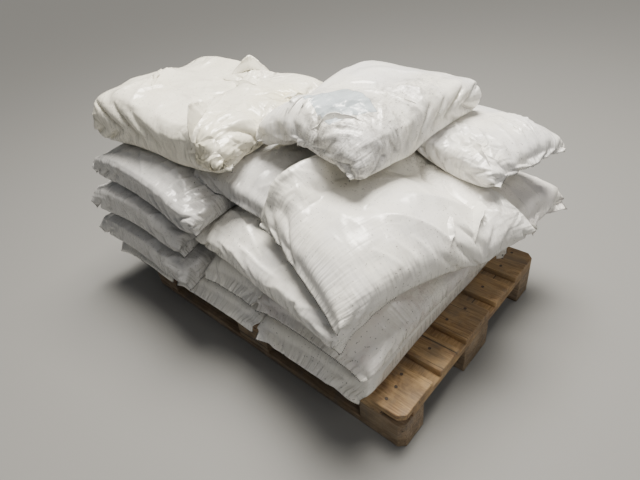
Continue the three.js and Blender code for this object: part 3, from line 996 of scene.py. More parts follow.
# %% The usual sack
NO_AREA = (0, 0, 0, -1, -1)
USUAL_FILM = {
    "grid": USUAL_GRID, "finish": clean_film, "slot": "sack_film", "fill": 0.8,
    "slack": 0.010, "end_slack": 0.10, "side_slack": 0.04,
    "stiff": 0.35, "swell": 0.0001, "hold": 0.3, "reach": 6, "rounds": 150, "start": 0.002,
    "side_wall": 0.06, "end_wall": 0.0, "drawn_in": (1, 0.0, 1.0, 0.0), "droop": 35,
    "stray": 14, "creases": [], "folds": [], "torn": None,
    "grime": [], "crumple": [], "yellow": [], "label": NO_AREA, "hole": NO_AREA,
}
print("settings of a sack:", len(USUAL_FILM))

# %% The two lower courses
FILM_SETTINGS = {
    "sack_1_right": {"end_slack": 0.12, "side_wall": 0.07},
    "sack_1_middle": {"slack": 0.02, "end_slack": 0.14},
    "sack_1_left": {"grid": HIDDEN_GRID},
    "sack_2_right": {
        "grid": FINE_GRID, "finish": dusty_film, "slack": 0.014, "side_slack": 0.07,
        "creases": [
            (-0.95, 0.10, -0.60, 0.20, 0.006, 0.010, 0.3),
            (-0.60, -0.60, -0.30, -0.98, 0.006, 0.012, 0.3),
        ],
        "grime": [(-0.20, -1.00, 0.10, 0.4), (0.40, -1.00, 0.08, 0.3)],
    },
    "sack_2_left_front": {
        "finish": shade_painted_film, "slack": 0.02, "end_slack": 0.16, "side_slack": 0.05,
        "side_wall": 0.085, "end_wall": 0.05, "droop": 75, "stray": 26,
        "creases": [
            (-0.75, -0.98, -0.30, -0.40, 0.008, 0.012, 0.4),
            (0.15, -1.00, 0.55, -0.55, 0.010, 0.012, -0.4),
            (0.60, -1.00, 0.95, -0.70, 0.010, 0.012, 0.4),
        ],
    },
    "sack_2_left_back": {"grid": HIDDEN_GRID, "side_wall": 0.08, "end_wall": 0.05},
    "sack_2_middle": {"slack": 0.02, "end_slack": 0.14, "fill": 0.7},
}
print("sacks set:", len(FILM_SETTINGS))

# %% The third course
FILM_SETTINGS.update({
    "sack_3_right_front": {
        "grid": FINE_GRID, "end_slack": 0.14, "side_slack": 0.06, "end_wall": 0.045,
        "droop": 70, "stray": 26,
        "creases": [
            (-0.98, 0.10, -0.55, 0.00, 0.007, 0.010, 0.3),
            (-0.98, -0.15, -0.50, -0.35, 0.009, 0.010, 0.3),
            (-0.98, -0.45, -0.45, -0.60, 0.009, 0.010, 0.3),
            (-0.95, -0.70, -0.60, -0.85, 0.008, 0.010, 0.3),
            (0.55, -1.00, 0.92, -0.75, 0.008, 0.012, 0.3),
            (-0.20, -0.70, 0.45, -0.80, 0.004, 0.014, 0.3),
        ],
    },
    "sack_3_left_front": {
        "finish": shade_painted_film, "slack": 0.02, "end_slack": 0.16, "side_slack": 0.05,
        "side_wall": 0.09, "end_wall": 0.06, "droop": 80, "stray": 28,
        "creases": [
            (-0.70, -0.95, -0.20, -0.50, 0.010, 0.014, 0.4),
            (-0.10, -1.00, 0.35, -0.40, 0.010, 0.014, -0.4),
            (0.40, -1.00, 0.90, -0.45, 0.012, 0.012, 0.4),
            (0.70, -0.40, 0.98, -0.10, 0.008, 0.010, 0.4),
        ],
    },
    "sack_3_left_back": {"grid": HIDDEN_GRID, "side_wall": 0.08, "end_wall": 0.05},
    "sack_3_right_back": {
        "finish": dusty_film, "slack": 0.02, "end_slack": 0.14, "end_wall": 0.07, "side_wall": 0.08,
        "creases": [
            (0.55, 0.60, 1.00, 0.30, 0.010, 0.012, 0.4),
            (0.50, 0.20, 1.00, -0.10, 0.010, 0.012, 0.4),
            (0.55, -0.30, 1.00, -0.55, 0.010, 0.012, 0.4),
        ],
    },
})
print("sacks set:", len(FILM_SETTINGS))

# %% The fourth course, at the left and in the middle
FILM_SETTINGS.update({
    "sack_4_left_front": {
        "grid": FINE_GRID, "finish": shade_painted_film, "slack": 0.016, "end_slack": 0.14, "side_slack": 0.045,
        "side_wall": 0.09, "end_wall": 0.05, "droop": 75, "stray": 28,
        "creases": [
            (-0.80, -0.90, -0.25, -0.65, 0.006, 0.014, 0.3),
            (0.10, -1.00, 0.40, 0.05, 0.005, 0.010, 0.4),
            (0.30, -1.00, 0.58, 0.00, 0.007, 0.010, 0.4),
            (0.48, -1.00, 0.76, 0.10, 0.008, 0.010, 0.4),
            (0.66, -1.00, 0.90, 0.00, 0.008, 0.010, 0.4),
            (0.80, -0.95, 0.98, -0.35, 0.009, 0.010, 0.4),
        ],
    },
    "sack_4_left_back": {"side_wall": 0.08, "end_wall": 0.05},
    "sack_4_middle": {
        "grid": FINE_GRID, "finish": shade_painted_film, "end_wall": 0.035, "droop": 60, "stray": 20,
        "creases": [
            (-0.98, 0.80, -0.60, 0.85, 0.010, 0.012, 0.3),
            (-0.98, 0.55, -0.70, 0.35, 0.008, 0.012, 0.3),
            (-0.98, -0.05, -0.68, -0.10, 0.006, 0.012, 0.3),
        ],
    },
})
print("sacks set:", len(FILM_SETTINGS))

# %% The fourth course, at the right
FILM_SETTINGS.update({
    "sack_4_right_front": {
        "grid": FINE_GRID, "droop": 60, "end_slack": 0.06, "side_wall": 0.03,
        "drawn_in": (1, -0.60, 0.75, 0.40),
        "creases": [
            (-0.64, 0.05, -0.46, -0.68, 0.003, 0.012, 0.3),
            (0.00, -0.24, 0.58, -0.70, 0.010, 0.009, 0.7),
            (-0.28, -0.42, 0.15, -0.96, 0.010, 0.009, 0.7),
            (0.30, -0.60, 0.36, -0.94, 0.006, 0.010, 0.4),
            (-0.55, -0.70, -0.35, -1.00, 0.004, 0.007, 0.4),
            (-0.38, -0.66, -0.22, -1.00, 0.004, 0.007, 0.4),
            (-0.20, -0.76, -0.08, -1.00, 0.005, 0.007, 0.4),
            (0.80, -0.50, 0.66, -0.95, 0.005, 0.010, -0.3),
            (-0.98, 0.75, -0.72, 0.62, 0.006, 0.010, 0.3),
            (-0.98, 0.35, -0.75, 0.30, 0.005, 0.010, 0.3),
            (0.98, -0.20, 0.76, -0.30, 0.006, 0.009, 0.3),
            (0.98, -0.55, 0.70, -0.52, 0.006, 0.009, 0.3),
        ],
        # The first spot of grime darkens the right end: dust there, and painted shade where the end
        # turns away from the light.
        "grime": [(0.90, -0.10, 0.10, 0.45), (0.70, -0.75, 0.03, 0.5), (0.85, -0.85, 0.03, 0.4),
                  (0.72, 0.30, 0.05, 0.5), (0.60, 0.55, 0.06, 0.5),
                  (0.55, 0.10, 0.03, 0.4), (0.10, -0.98, 0.03, 0.4)],
        "crumple": [(0.90, -0.80, 0.04, 0.8)],
        "folds": [
            (0.68, -0.54, 0.30, -1.00, 0.028, 0.013, 0.35, 0.30),
            (0.26, -0.66, 0.06, -1.00, 0.016, 0.012, 0.45, 0.30),
        ],
    },
    "sack_4_right_back": {
        "grid": FINE_GRID, "finish": scuffed_film, "slack": 0.014, "end_slack": 0.12, "end_wall": 0.03,
        "creases": [
            (0.45, 0.75, 0.99, 0.55, 0.010, 0.009, 0.4),
            (0.40, 0.60, 0.99, 0.30, 0.011, 0.009, 0.4),
            (0.48, 0.35, 0.98, 0.05, 0.009, 0.009, 0.4),
            (0.52, 0.05, 0.98, -0.20, 0.007, 0.008, 0.4),
            (0.60, -0.35, 0.98, -0.45, 0.008, 0.008, 0.4),
            (0.70, -0.55, 0.97, -0.80, 0.006, 0.010, -0.4),
            (0.25, -0.30, 0.62, -0.78, 0.007, 0.007, 0.4),
            (0.36, -0.28, 0.72, -0.72, 0.007, 0.007, 0.4),
            (0.50, -0.30, 0.82, -0.62, 0.008, 0.007, 0.4),
        ],
        "grime": [(-0.10, -0.30, 0.07, 0.3), (0.55, 0.20, 0.05, 0.4), (0.80, 0.45, 0.04, 0.4)],
        "crumple": [(0.48, -0.60, 0.06, 0.55), (0.78, -0.70, 0.05, 0.5)],
        "folds": [
            (0.52, -0.60, 0.95, -0.90, 0.014, 0.010, 0.50, 0.50),
            (0.46, 0.62, 0.97, 0.38, 0.010, 0.009, 0.60, 0.50),
            (0.50, 0.36, 0.97, 0.08, 0.010, 0.009, 0.60, 0.50),
        ],
    },
})
print("sacks set:", len(FILM_SETTINGS))

# %% The large yellowed sack on top
FILM_SETTINGS.update({
    "sack_top_left": {
        "grid": FINE_GRID, "slack": 0.012, "end_slack": 0.06, "finish": old_film,
        "slot": "old_sack_film", "fill": 0.65, "reach": 8, "stray": 26,
        "side_wall": 0.09, "end_wall": 0.06, "side_slack": 0.012,
        "creases": [
            (-0.29, -0.95, -0.72, 0.25, 0.012, 0.014, 0.5),
            (-0.60, -0.95, -0.52, -0.30, 0.010, 0.012, -0.4),
            (-0.95, -0.50, -0.55, 0.10, 0.008, 0.014, 0.4),
            (0.34, -0.08, 0.66, 0.20, 0.011, 0.012, 0.5),
            (0.98, -0.30, 0.84, -0.92, 0.012, 0.010, 0.4),
            (0.88, -0.30, 0.74, -0.90, 0.010, 0.009, 0.4),
            (-0.20, -0.30, 0.40, -0.45, 0.004, 0.020, 0.3),
        ],
        "grime": [(0.95, -1.00, 0.07, 0.8), (0.60, -1.12, 0.03, 0.5), (0.20, -1.10, 0.03, 0.3),
                  (-0.40, -1.05, 0.03, 0.25)],
        "crumple": [(0.80, -0.70, 0.10, 0.5), (0.30, 0.65, 0.10, 0.5), (-0.90, 0.80, 0.08, 0.8),
                    (0.95, 0.10, 0.07, 0.6)],
        "hole": (-0.90, 0.05, 30, 0.006, 0.004),
        "yellow": [(0.95, 0.30, 0.05, 0.9), (0.85, -0.60, 0.07, 0.5), (0.75, 0.10, 0.05, 0.3)],
        "torn": {"rows": (0.80, 0.985), "low": 3, "high": 38, "rag": 5, "lift": 0.016, "yellow": 0.5},
        "folds": [
            (0.47, -0.48, 0.66, -1.04, 0.058, 0.018, 0.50, 0.30),
            (-0.05, 0.48, 0.27, 0.86, 0.044, 0.022, 0.50, 0.10),
            (0.60, -0.70, 0.34, 0.00, 0.018, 0.012, 0.55, 0.40),
            (-0.12, 0.40, 0.64, 0.22, 0.014, 0.012, 0.45, 0.30),
            (0.90, 0.20, 1.00, 0.60, 0.020, 0.014, 0.50, -0.20),
            (-0.80, 0.10, -0.30, -0.60, 0.014, 0.014, 0.40, 0.50),
        ],
    },
})
print("sacks set:", len(FILM_SETTINGS))

# %% The labelled sack on top
FILM_SETTINGS.update({
    "sack_top_right": {
        "grid": FINE_GRID, "slack": 0.012, "reach": 8, "finish": scuffed_film, "stray": 24,
        "side_wall": 0.07, "end_wall": 0.05,
        "creases": [
            (-0.30, -0.10, 0.00, -0.98, 0.009, 0.010, 0.5),
            (-0.02, -0.20, 0.30, -0.98, 0.008, 0.010, 0.5),
            (-0.98, -0.12, -0.22, -0.64, 0.009, 0.010, -0.5),
            (-1.00, 0.32, -0.60, 0.36, 0.010, 0.008, 0.3),
            (-1.00, 0.06, -0.60, 0.14, 0.011, 0.008, 0.3),
            (-0.80, -0.06, -1.00, -0.28, -0.014, 0.010, -0.3),
            (-0.97, -0.28, -0.72, -0.86, 0.008, 0.007, 0.3),
            (-0.99, -0.44, -0.80, -0.92, 0.007, 0.007, 0.3),
            (-0.60, -0.95, -0.30, -0.60, 0.007, 0.009, 0.4),
        ],
        "grime": [(-0.80, -0.50, 0.08, 0.75), (-0.95, -0.20, 0.05, 0.7), (-0.50, -0.75, 0.07, 0.7),
                  (-0.05, -0.60, 0.06, 0.7), (0.25, -0.55, 0.06, 0.6), (0.60, -0.50, 0.05, 0.5),
                  (-1.00, -0.95, 0.06, 0.8)],
        "crumple": [(-0.84, -0.50, 0.07, 0.14), (-0.45, -0.80, 0.06, 0.10)],
        "label": (-0.58, -0.17, -24, 0.085, 0.068),
        "folds": [
            (-0.99, 0.34, -0.62, 0.36, 0.012, 0.009, 0.40, 0.40),
            (-0.99, 0.10, -0.62, 0.16, 0.012, 0.009, 0.40, -0.40),
            (-0.20, -0.25, 0.04, -0.98, 0.009, 0.010, 0.50, 0.60),
            (-0.98, -0.12, -0.62, -0.80, 0.013, 0.010, 0.40, 0.50),
        ],
    },
})
print("sacks set:", len(FILM_SETTINGS))

# %% [markdown]
# ## Start one sack's film
# Three things are made before a film relaxes. A map says how much film there is to spare at each
# grid point: most round the seals and along the sides, none inside a seal. Small random offsets
# that change slowly over the grid start the folds off, for a perfectly even film would never
# buckle. And a few rows are added beyond each end, for the flap where the two layers are welded.

# %% Spare film, a first push and the flaps
SLACK_REACH = 0.05
SLACK_START = 0.012
LINK = 0.005
NOISE_CELL = 3
FLAP_WAY_FROM = 4


def slack_map(shape, settings):
    """How much film there is to spare at each grid point, along the sack and round it."""
    rows, columns = shape[0], shape[1] // 2
    u = np.linspace(-1, 1, rows)[:, None]
    v = (np.arange(2 * columns) / columns * 2 - 1)[None, :]
    from_end = (1 - np.abs(u)) * rows / 2 * LINK
    nearer_side = np.minimum(np.minimum(np.abs(v + 1), np.abs(v - 1)), np.abs(v - 3))
    from_side = nearer_side * columns / 2 * LINK
    along = settings["slack"] + settings["side_slack"] * np.exp(-from_side / SLACK_REACH) + 0 * u
    at_end = settings["slack"] + settings["end_slack"] * np.exp(-from_end / SLACK_REACH)
    around = at_end * np.clip((from_end - FLAP_ROWS * LINK) / SLACK_START, 0, 1) + 0 * v
    return np.dstack([along, around])


def slow_noise(shape, rng, size):
    """Random offsets that change slowly over the grid, to start the folds off."""
    cells = (shape[0] // NOISE_CELL + 3, shape[1] // NOISE_CELL + 1, 3)
    pushes = rng.normal(size=cells) * size
    pushes[:, -1] = pushes[:, 0]
    rows = np.linspace(0, pushes.shape[0] - 1.001, shape[0])
    columns = np.linspace(0, pushes.shape[1] - 1.001, shape[1])
    row, column = rows.astype(int), columns.astype(int)
    across, along = (columns - column)[None, :, None], (rows - row)[:, None, None]
    near = pushes[row][:, column] * (1 - across) + pushes[row][:, column + 1] * across
    far = pushes[row + 1][:, column] * (1 - across) + pushes[row + 1][:, column + 1] * across
    return near * (1 - along) + far * along


def mirrored(ring):
    """The same ring with each point swapped for the one on the other layer."""
    return ring[(-np.arange(ring.shape[0])) % ring.shape[0]]


def add_flap_rows(tube, step, droop):
    """Adds rows beyond both ends, straight out from the sack and drooping by an angle."""
    ends = []
    for edge, inner in ((tube[0], tube[FLAP_WAY_FROM]), (tube[-1], tube[-1 - FLAP_WAY_FROM])):
        out = edge - (inner + mirrored(inner)) / 2
        out[:, 2] = 0
        out /= np.linalg.norm(out, axis=1, keepdims=True) + NEVER_ZERO
        direction = out * cos(droop) + np.array((0, 0, -sin(droop)))
        ends.append([edge + direction * step * (k + 1) for k in range(FLAP_ROWS)])
    return np.concatenate([ends[0][::-1], tube, ends[1]])


usual_slack = slack_map(USUAL_GRID, USUAL_FILM)
print("most spare film:", round(float(usual_slack.max()), 3), "of a link's length")

# %% [markdown]
# ## Creases
# The relaxed film has folds all over, but a filled sack also has long creases where it was lifted
# or pressed. Those that are seen in a certain place are listed, and some more are strewn at
# random. Both are ridges with one steeper side, added after the relaxation, which would smooth them
# away.

# %% Long creases
STRAY_PLACE = 0.9
STRAY_LENGTH = (0.12, 0.40)
STRAY_HEIGHT = (0.002, 0.006)
STRAY_WIDTH = (0.005, 0.010)
STRAY_LEAN = 0.6


def crease_heights(film, corners, creases):
    """How far the long creases stand out at each grid point, in metres."""
    upper_half = (np.arange(film.shape[1]) <= film.shape[1] // 2)[None, :]
    heights = np.zeros(film.shape[:2])
    for u0, v0, u1, v1, height, width, lean in creases:
        first = plan_place(corners, u0, v0)
        line = plan_place(corners, u1, v1) - first
        length = np.hypot(*line)
        offset = film[..., :2] - first
        along = np.clip(offset @ line / length ** 2, 0, 1)
        aside = (offset[..., 0] * line[1] - offset[..., 1] * line[0]) / length
        reach = np.where(aside > 0, width * (1 + lean), width * (1 - lean))
        ridge = height * np.sqrt(np.sin(along * np.pi)) * np.exp(-np.abs(aside) / reach)
        heights += np.where(upper_half, ridge, 0)
    return heights


def stray_creases(count, rng):
    """Long shallow creases from handling, anywhere on the film."""
    creases = []
    for _ in range(count):
        u, v = rng.uniform(-STRAY_PLACE, STRAY_PLACE, size=2)
        turn = rng.uniform(0, np.pi)
        length = rng.uniform(*STRAY_LENGTH)
        height = rng.uniform(*STRAY_HEIGHT)
        width = rng.uniform(*STRAY_WIDTH)
        lean = rng.uniform(-STRAY_LEAN, STRAY_LEAN)
        along_u, along_v = length * cos(turn), length * sin(turn)
        creases.append((u - along_u, v - along_v, u + along_u, v + along_v, height, width, lean))
    return creases


print("a stray crease:", [round(float(n), 3) for n in stray_creases(1, np.random.default_rng(1))[0]])

# %% [markdown]
# ## Marks on the points
# The finishes above read marks. Grime, crumpling and yellowing are round spots that fade outwards. A
# label and a hole are distances to an outline, which stay sharp between grid points. Only the upper
# side of a sack gets a label.

# %% Marks


def spots_at(film, corners, spots):
    """How strong a mark is at each grid point, from its spots."""
    strength = np.zeros(film.shape[:2])
    for u, v, reach, amount in spots:
        away = np.linalg.norm(film[..., :2] - plan_place(corners, u, v), axis=-1)
        strength += amount * np.exp(-(away / reach) ** 2)
    return strength


def outline_distance(film, corners, area):
    """How far each grid point is outside an area's outline, in metres, less than zero inside."""
    u, v, degrees, half_length, half_width = area
    turn = radians(degrees)
    offset = film[..., :2] - plan_place(corners, u, v)
    along = offset @ np.array((cos(turn), sin(turn)))
    across = offset @ np.array((-sin(turn), cos(turn)))
    beside = np.maximum(np.abs(along) - half_length, np.abs(across) - half_width)
    on_top = np.arange(film.shape[1]) <= film.shape[1] // 2
    return np.where(on_top[None, :], beside, 1.0)


def add_marks(mesh, marks):
    for mark, values in marks.items():
        mesh.attributes.new(mark, "FLOAT", "POINT").data.foreach_set("value", values.ravel())


print("spots of grime in all:", sum(len(s.get("grime", [])) for s in FILM_SETTINGS.values()))

# %% [markdown]
# ## From a grid to a mesh
# The tube's squares become faces, and both ends are closed across the flap, so the mesh has no open
# edge. The film's own map gives each corner its distance along and round the tube. The map has one
# seam, and the loops there take the next column's number, so that no face stretches back over the
# whole map. The distances to the nearer seal and side become marks, which fade over a few
# centimetres.

# %% The film's mesh
SEAL_REACH = 0.075


def tube_faces(rows, columns):
    """The tube's squares, and the strips that close it at both ends."""
    index = np.arange(rows * columns).reshape(rows, columns)
    beside = np.roll(index, -1, axis=1)
    faces = np.stack([index[:-1], index[1:], beside[1:], beside[:-1]], axis=-1)
    faces = faces.reshape(-1, 4).tolist()
    for row, order in ((0, 1), (rows - 1, -1)):
        for k in range(columns // 2):
            far, near = (-k - 1) % columns, -k % columns
            ring = [index[row, k], index[row, k + 1], index[row, far], index[row, near]]
            faces.append(list(dict.fromkeys(ring))[::order])
    return faces


def loop_points(mesh):
    """The number of the point that each face corner uses."""
    corner_vertex = np.empty(len(mesh.loops), dtype=int)
    mesh.loops.foreach_get("vertex_index", corner_vertex)
    return corner_vertex


def add_flat_map(mesh, row, column, flat):
    """A map in metres from each face corner's row and column."""
    flat_map = mesh.uv_layers.new(name="film")
    flat_map.data.foreach_set("uv", np.stack([row * flat[0], column * flat[1]], axis=1).ravel())


def film_mesh(name, film, flat, marks):
    """A closed mesh of the tube grid, with its flat map and the marks its finish reads."""
    rows, columns = film.shape[:2]
    mesh = bpy.data.meshes.new(name)
    mesh.from_pydata(film.reshape(-1, 3).tolist(), [], tube_faces(rows, columns))
    row, column = np.divmod(loop_points(mesh), columns)
    column = (column + columns // 4) % columns
    quads = 4 * (rows - 1) * columns
    column[2:quads:4] = column[0:quads:4] + 1
    column[3:quads:4] = column[0:quads:4] + 1
    add_flat_map(mesh, row, column, flat)
    from_end = np.minimum(np.arange(rows), np.arange(rows)[::-1]) * flat[0]
    near_seal = np.repeat(np.exp(-from_end / SEAL_REACH), columns)
    half = columns // 2
    from_left = np.arange(columns) % half
    from_side = np.minimum(from_left, half - from_left) * flat[1]
    near_side = np.tile(np.exp(-from_side / SEAL_REACH), rows)
    add_marks(mesh, {"near_seal": near_seal, "near_side": near_side, **marks})
    mesh.shade_smooth()
    return mesh


print("faces on a small tube of 3 by 8:", len(tube_faces(3, 8)))

# %% [markdown]
# ## Loose film
# On the upper sacks some film stands off the surface: the yellowed one has a torn edge that lies
# ragged over its side, and four have folds pinched up from the film. A ridge of the grid would be
# too round for these, so each is a thin shell of its own, a sheet with an outer and an inner side
# and a rim all round. A fold starts just under the film, a torn edge lies just over it, and both are
# joined to the sack's mesh.

# %% A thin closed shell
LOOSE_THICKNESS = 0.0008
SHELL_NEAR_SIDE = 0.6
SHELL_CRUMPLE = 0.5


def film_shell(outer, inner, flat, fade, yellow=0.0):
    """A thin closed shell of film between two grids, crumpled by how strong fade is in a column."""
    rows, steps = outer.shape[:2]
    count = rows * steps
    index = np.arange(count).reshape(rows, steps)
    quads = np.stack([index[:-1, :-1], index[1:, :-1], index[1:, 1:], index[:-1, 1:]], axis=-1)
    quads = quads.reshape(-1, 4)
    rim = np.concatenate([index[:-1, 0], index[-1, :-1], index[:0:-1, -1], index[0, :0:-1]])
    after = np.roll(rim, -1)
    edge = np.stack([after, rim, rim + count, after + count], axis=-1)
    faces = np.concatenate([quads, quads[:, ::-1] + count, edge])
    mesh = bpy.data.meshes.new("loose film")
    mesh.from_pydata(np.concatenate([outer, inner]).reshape(-1, 3).tolist(), [], faces.tolist())
    row, column = np.divmod(loop_points(mesh) % count, steps)
    add_flat_map(mesh, row, column, flat)
    fade = np.tile(fade, 2 * rows)
    add_marks(mesh, {"near_seal": 0 * fade, "near_side": SHELL_NEAR_SIDE * fade, "grime": 0 * fade,
                     "crumple": SHELL_CRUMPLE * fade, "yellow": yellow * fade,
                     "label": 1 + 0 * fade, "hole": 1 + 0 * fade})
    mesh.shade_smooth()
    return mesh


def joined(first, second):
    """Both meshes as one, in the first."""
    both = bmesh.new()
    both.from_mesh(first)
    both.from_mesh(second)
    both.to_mesh(first)
    both.free()
    bpy.data.meshes.remove(second)
    return first


print("shell thickness:", LOOSE_THICKNESS * 1000, "mm")

# %% A torn edge
TORN_STEPS = 30
TORN_LIFT = 0.0012
TORN_CURL = 1.5
TORN_JAG = 0.5
TORN_WAVE = 0.6
CURL_WAVE = 0.5
TORN_FADE_ROWS = 4
WAVE_ROWS = 9


def torn_edge(film, flat, torn, rng):
    """A loose edge of torn film lying over the side of a sack, as a thin closed shell."""
    first, last = (int(share * (film.shape[0] - 1)) for share in torn["rows"])
    count = last - first
    width = film.shape[1]
    normals = outward(film)
    across = np.linspace(0, 1, TORN_STEPS)
    every_second = np.arange(0, count, 2)
    jags = np.interp(np.arange(count), every_second, rng.uniform(-1, 1, size=len(every_second)))
    pushes = rng.normal(size=count + WAVE_ROWS - 1)
    wave = np.convolve(pushes, np.ones(WAVE_ROWS) / np.sqrt(WAVE_ROWS), mode="valid")
    outer, inner = [], []
    for k, row in enumerate(range(first, last)):
        low = torn["low"] + torn["rag"] * (TORN_JAG * jags[k] + TORN_WAVE * wave[k])
        place = low + (torn["high"] - low) * across
        column = np.floor(place).astype(int)
        share = (place - column)[:, None]
        here, beside = column % width, (column + 1) % width
        base = film[row, here] * (1 - share) + film[row, beside] * share
        way = normals[row, here] * (1 - share) + normals[row, beside] * share
        curl = (1 - across) ** TORN_CURL * (1 + CURL_WAVE * wave[k])
        fade = min(1.0, k / TORN_FADE_ROWS, (count - 1 - k) / TORN_FADE_ROWS)
        lift = (TORN_LIFT + torn["lift"] * curl) * fade + TORN_LIFT
        outer.append(base + way * lift[:, None])
        inner.append(base + way * (lift - LOOSE_THICKNESS)[:, None])
    return film_shell(np.array(outer), np.array(inner), flat, 1 - across, torn["yellow"])


print("sacks with a torn edge:", sum("torn" in s for s in FILM_SETTINGS.values()))

# %% A standing fold
FOLD_ROWS = 26
FOLD_STEPS = 13
FOLD_SINK = 0.003
FOLD_JITTER = 0.004
FOLD_RISE = 0.8
FOLD_POINT = 0.75
FOLD_FOOT = 0.25
FOLD_LEAST_WIDTH = 0.4
FOLD_CRUMPLE = 0.3
SMOOTH_THREE = np.ones(3) / 3


def fold_base(film, line):
    """The film's points under a plan line, smoothed, and the way straight out from the film there."""
    half = film.shape[1] // 2 + 1
    top = film[:, :half].reshape(-1, 3)
    ways = outward(film)[:, :half].reshape(-1, 3)
    nearest = [np.argmin(((top[:, :2] - place) ** 2).sum(axis=1)) for place in line]
    padded = np.pad(top[nearest], ((1, 1), (0, 0)), mode="edge")
    base = np.stack([np.convolve(padded[:, k], SMOOTH_THREE, mode="valid") for k in range(3)], axis=1)
    way = ways[nearest].mean(axis=0)
    return base, way / np.linalg.norm(way)


def standing_fold(film, flat, corners, fold, rng):
    """A pinch of film that stands up from the sack along a line, highest at its peak."""
    u0, v0, u1, v1, height, width, peak, lean = fold
    share = np.linspace(0, 1, FOLD_ROWS)
    line = plan_grid(corners, u0 + (u1 - u0) * share, v0 + (v1 - v0) * share)
    base, way = fold_base(film, line)
    along = base[-1] - base[0]
    aside = np.cross(way, along / np.linalg.norm(along))
    rise = height * np.minimum(share / peak, (1 - share) / (1 - peak)) ** FOLD_RISE
    jitter = np.convolve(rng.normal(size=FOLD_ROWS + 2), SMOOTH_THREE, mode="valid") * FOLD_JITTER
    t = np.linspace(-1, 1, FOLD_STEPS)[:, None]
    inward = 1 - np.abs(t)
    foot = t * (FOLD_FOOT + (1 - FOLD_FOOT) * np.abs(t))
    outer = []
    for k in range(FOLD_ROWS):
        wide = FOLD_LEAST_WIDTH + (1 - FOLD_LEAST_WIDTH) * rise[k] / height
        up = rise[k] * inward ** FOLD_POINT
        sideways = width * foot * wide + lean * up + jitter[k] * inward
        outer.append(base[k] - way * FOLD_SINK + aside * sideways + way * up)
    outer = np.array(outer)
    inner = outer - way * LOOSE_THICKNESS
    return film_shell(outer, inner, flat, FOLD_CRUMPLE * inward[:, 0])


print("standing folds:", sum(len(s.get("folds", [])) for s in FILM_SETTINGS.values()))

# %% [markdown]
# ## Make the sacks
# Now one sack is a short list of steps: wrap the tube, add the flaps, relax the film from the
# coarsest grid to the finest, add the creases, and turn the grid into a mesh with its marks. A seed
# made from the sack's name keeps its folds the same in every run and different from its
# neighbours'. Every sack is a piece that stands for its CAD solid.

# %% The film of one sack
SMOOTH_REACH = 2
FLAP_HALF_THICKNESS = 0.0005


def make_film_shape(name, settings):
    """The relaxed film of one sack, its links' usual length in metres, and its filling's shape."""
    tube = wrap_tube(name, settings)
    step = float(np.linalg.norm(np.diff(tube, axis=0), axis=-1).mean())
    around = float(np.linalg.norm(np.diff(tube, axis=1), axis=-1).mean())
    filling = add_flap_rows(blur(tube, SMOOTH_REACH), step, radians(settings["droop"]))
    slack = slack_map(filling.shape, settings)
    rng = np.random.default_rng(list(name.encode()))
    film = None
    for level in LEVELS:
        coarse = filling[::level, ::level]
        if film is None:
            film = coarse + slow_noise(coarse.shape, rng, settings["start"])
        else:
            film = refine(film)
        relax(film, coarse, slack, settings, level)
    creases = settings["creases"] + stray_creases(settings["stray"], rng)
    film += outward(film) * crease_heights(film, corner_points(name), creases)[..., None]
    for part in (np.s_[:FLAP_ROWS + 1], np.s_[-FLAP_ROWS - 1:]):
        film[part] += outward(film)[part] * FLAP_HALF_THICKNESS
    return film, (step, around), filling


print("flap thickness:", 2 * FLAP_HALF_THICKNESS * 1000, "mm")

# %% Every sack
LOOSE_SEED = 5


def make_sack(name):
    settings = {**USUAL_FILM, **FILM_SETTINGS[name]}
    film, flat, filling = make_film_shape(name, settings)
    corners = corner_points(name)
    marks = {mark: spots_at(film, corners, settings[mark]) for mark in ("grime", "crumple", "yellow")}
    for mark in ("label", "hole"):
        marks[mark] = outline_distance(film, corners, settings[mark])
    mesh = film_mesh(name + "_film", film, flat, marks)
    if settings["torn"]:
        rng = np.random.default_rng(LOOSE_SEED)
        mesh = joined(mesh, torn_edge(film, flat, settings["torn"], rng))
    for number, fold in enumerate(settings["folds"]):
        rng = np.random.default_rng(LOOSE_SEED + number)
        mesh = joined(mesh, standing_fold(film, flat, corners, fold, rng))
    mesh.materials.append(settings["finish"])
    piece = add_object(name + "_film", mesh)
    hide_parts(name)
    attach(piece, "root")
    print(name, "grid", film.shape[:2], "moved", round(float(np.abs(film - filling).max()) * 1000), "mm")
    return film


films = {name: make_sack(name) for name in FILM_SETTINGS}
print("sacks made:", len(films), round(time.time() - started, 1), "s")

# %% [markdown]
# ## The seams' toothed edges
# Both ends of a sack are welded flat and cut with a toothed knife, so each flap ends in a row of
# small points. A row of equal teeth along a line is work for Geometry Nodes: the flap's edge goes
# in as a line of points that each know which way is out, the tree spaces new points along it at
# the knife's pitch, and puts a small flat pyramid on each.

# %% The flaps' edge lines


def seam_lines(shapes):
    """The outer edge line of every flap, with the way out at each of its points."""
    points, outs, edges = [], [], []
    for film in shapes:
        half = film.shape[1] // 2
        for edge, inner in ((film[0], film[2]), (film[-1], film[-3])):
            line = ((edge + mirrored(edge)) / 2)[:half + 1]
            way = line - ((inner + mirrored(inner)) / 2)[:half + 1]
            first = len(points)
            points.extend(line.tolist())
            outs.extend((way / (np.linalg.norm(way, axis=1, keepdims=True) + NEVER_ZERO)).tolist())
            edges.extend((first + k, first + k + 1) for k in range(half))
    return points, outs, edges


line_points, ways_out, line_edges = seam_lines(films.values())
seam_marks = bpy.data.meshes.new("seam lines")
seam_marks.from_pydata(line_points, line_edges, [])
out_mark = seam_marks.attributes.new("out", "FLOAT_VECTOR", "POINT")
out_mark.data.foreach_set("vector", np.array(ways_out).ravel())
print("points on the flaps' edges:", len(line_points))

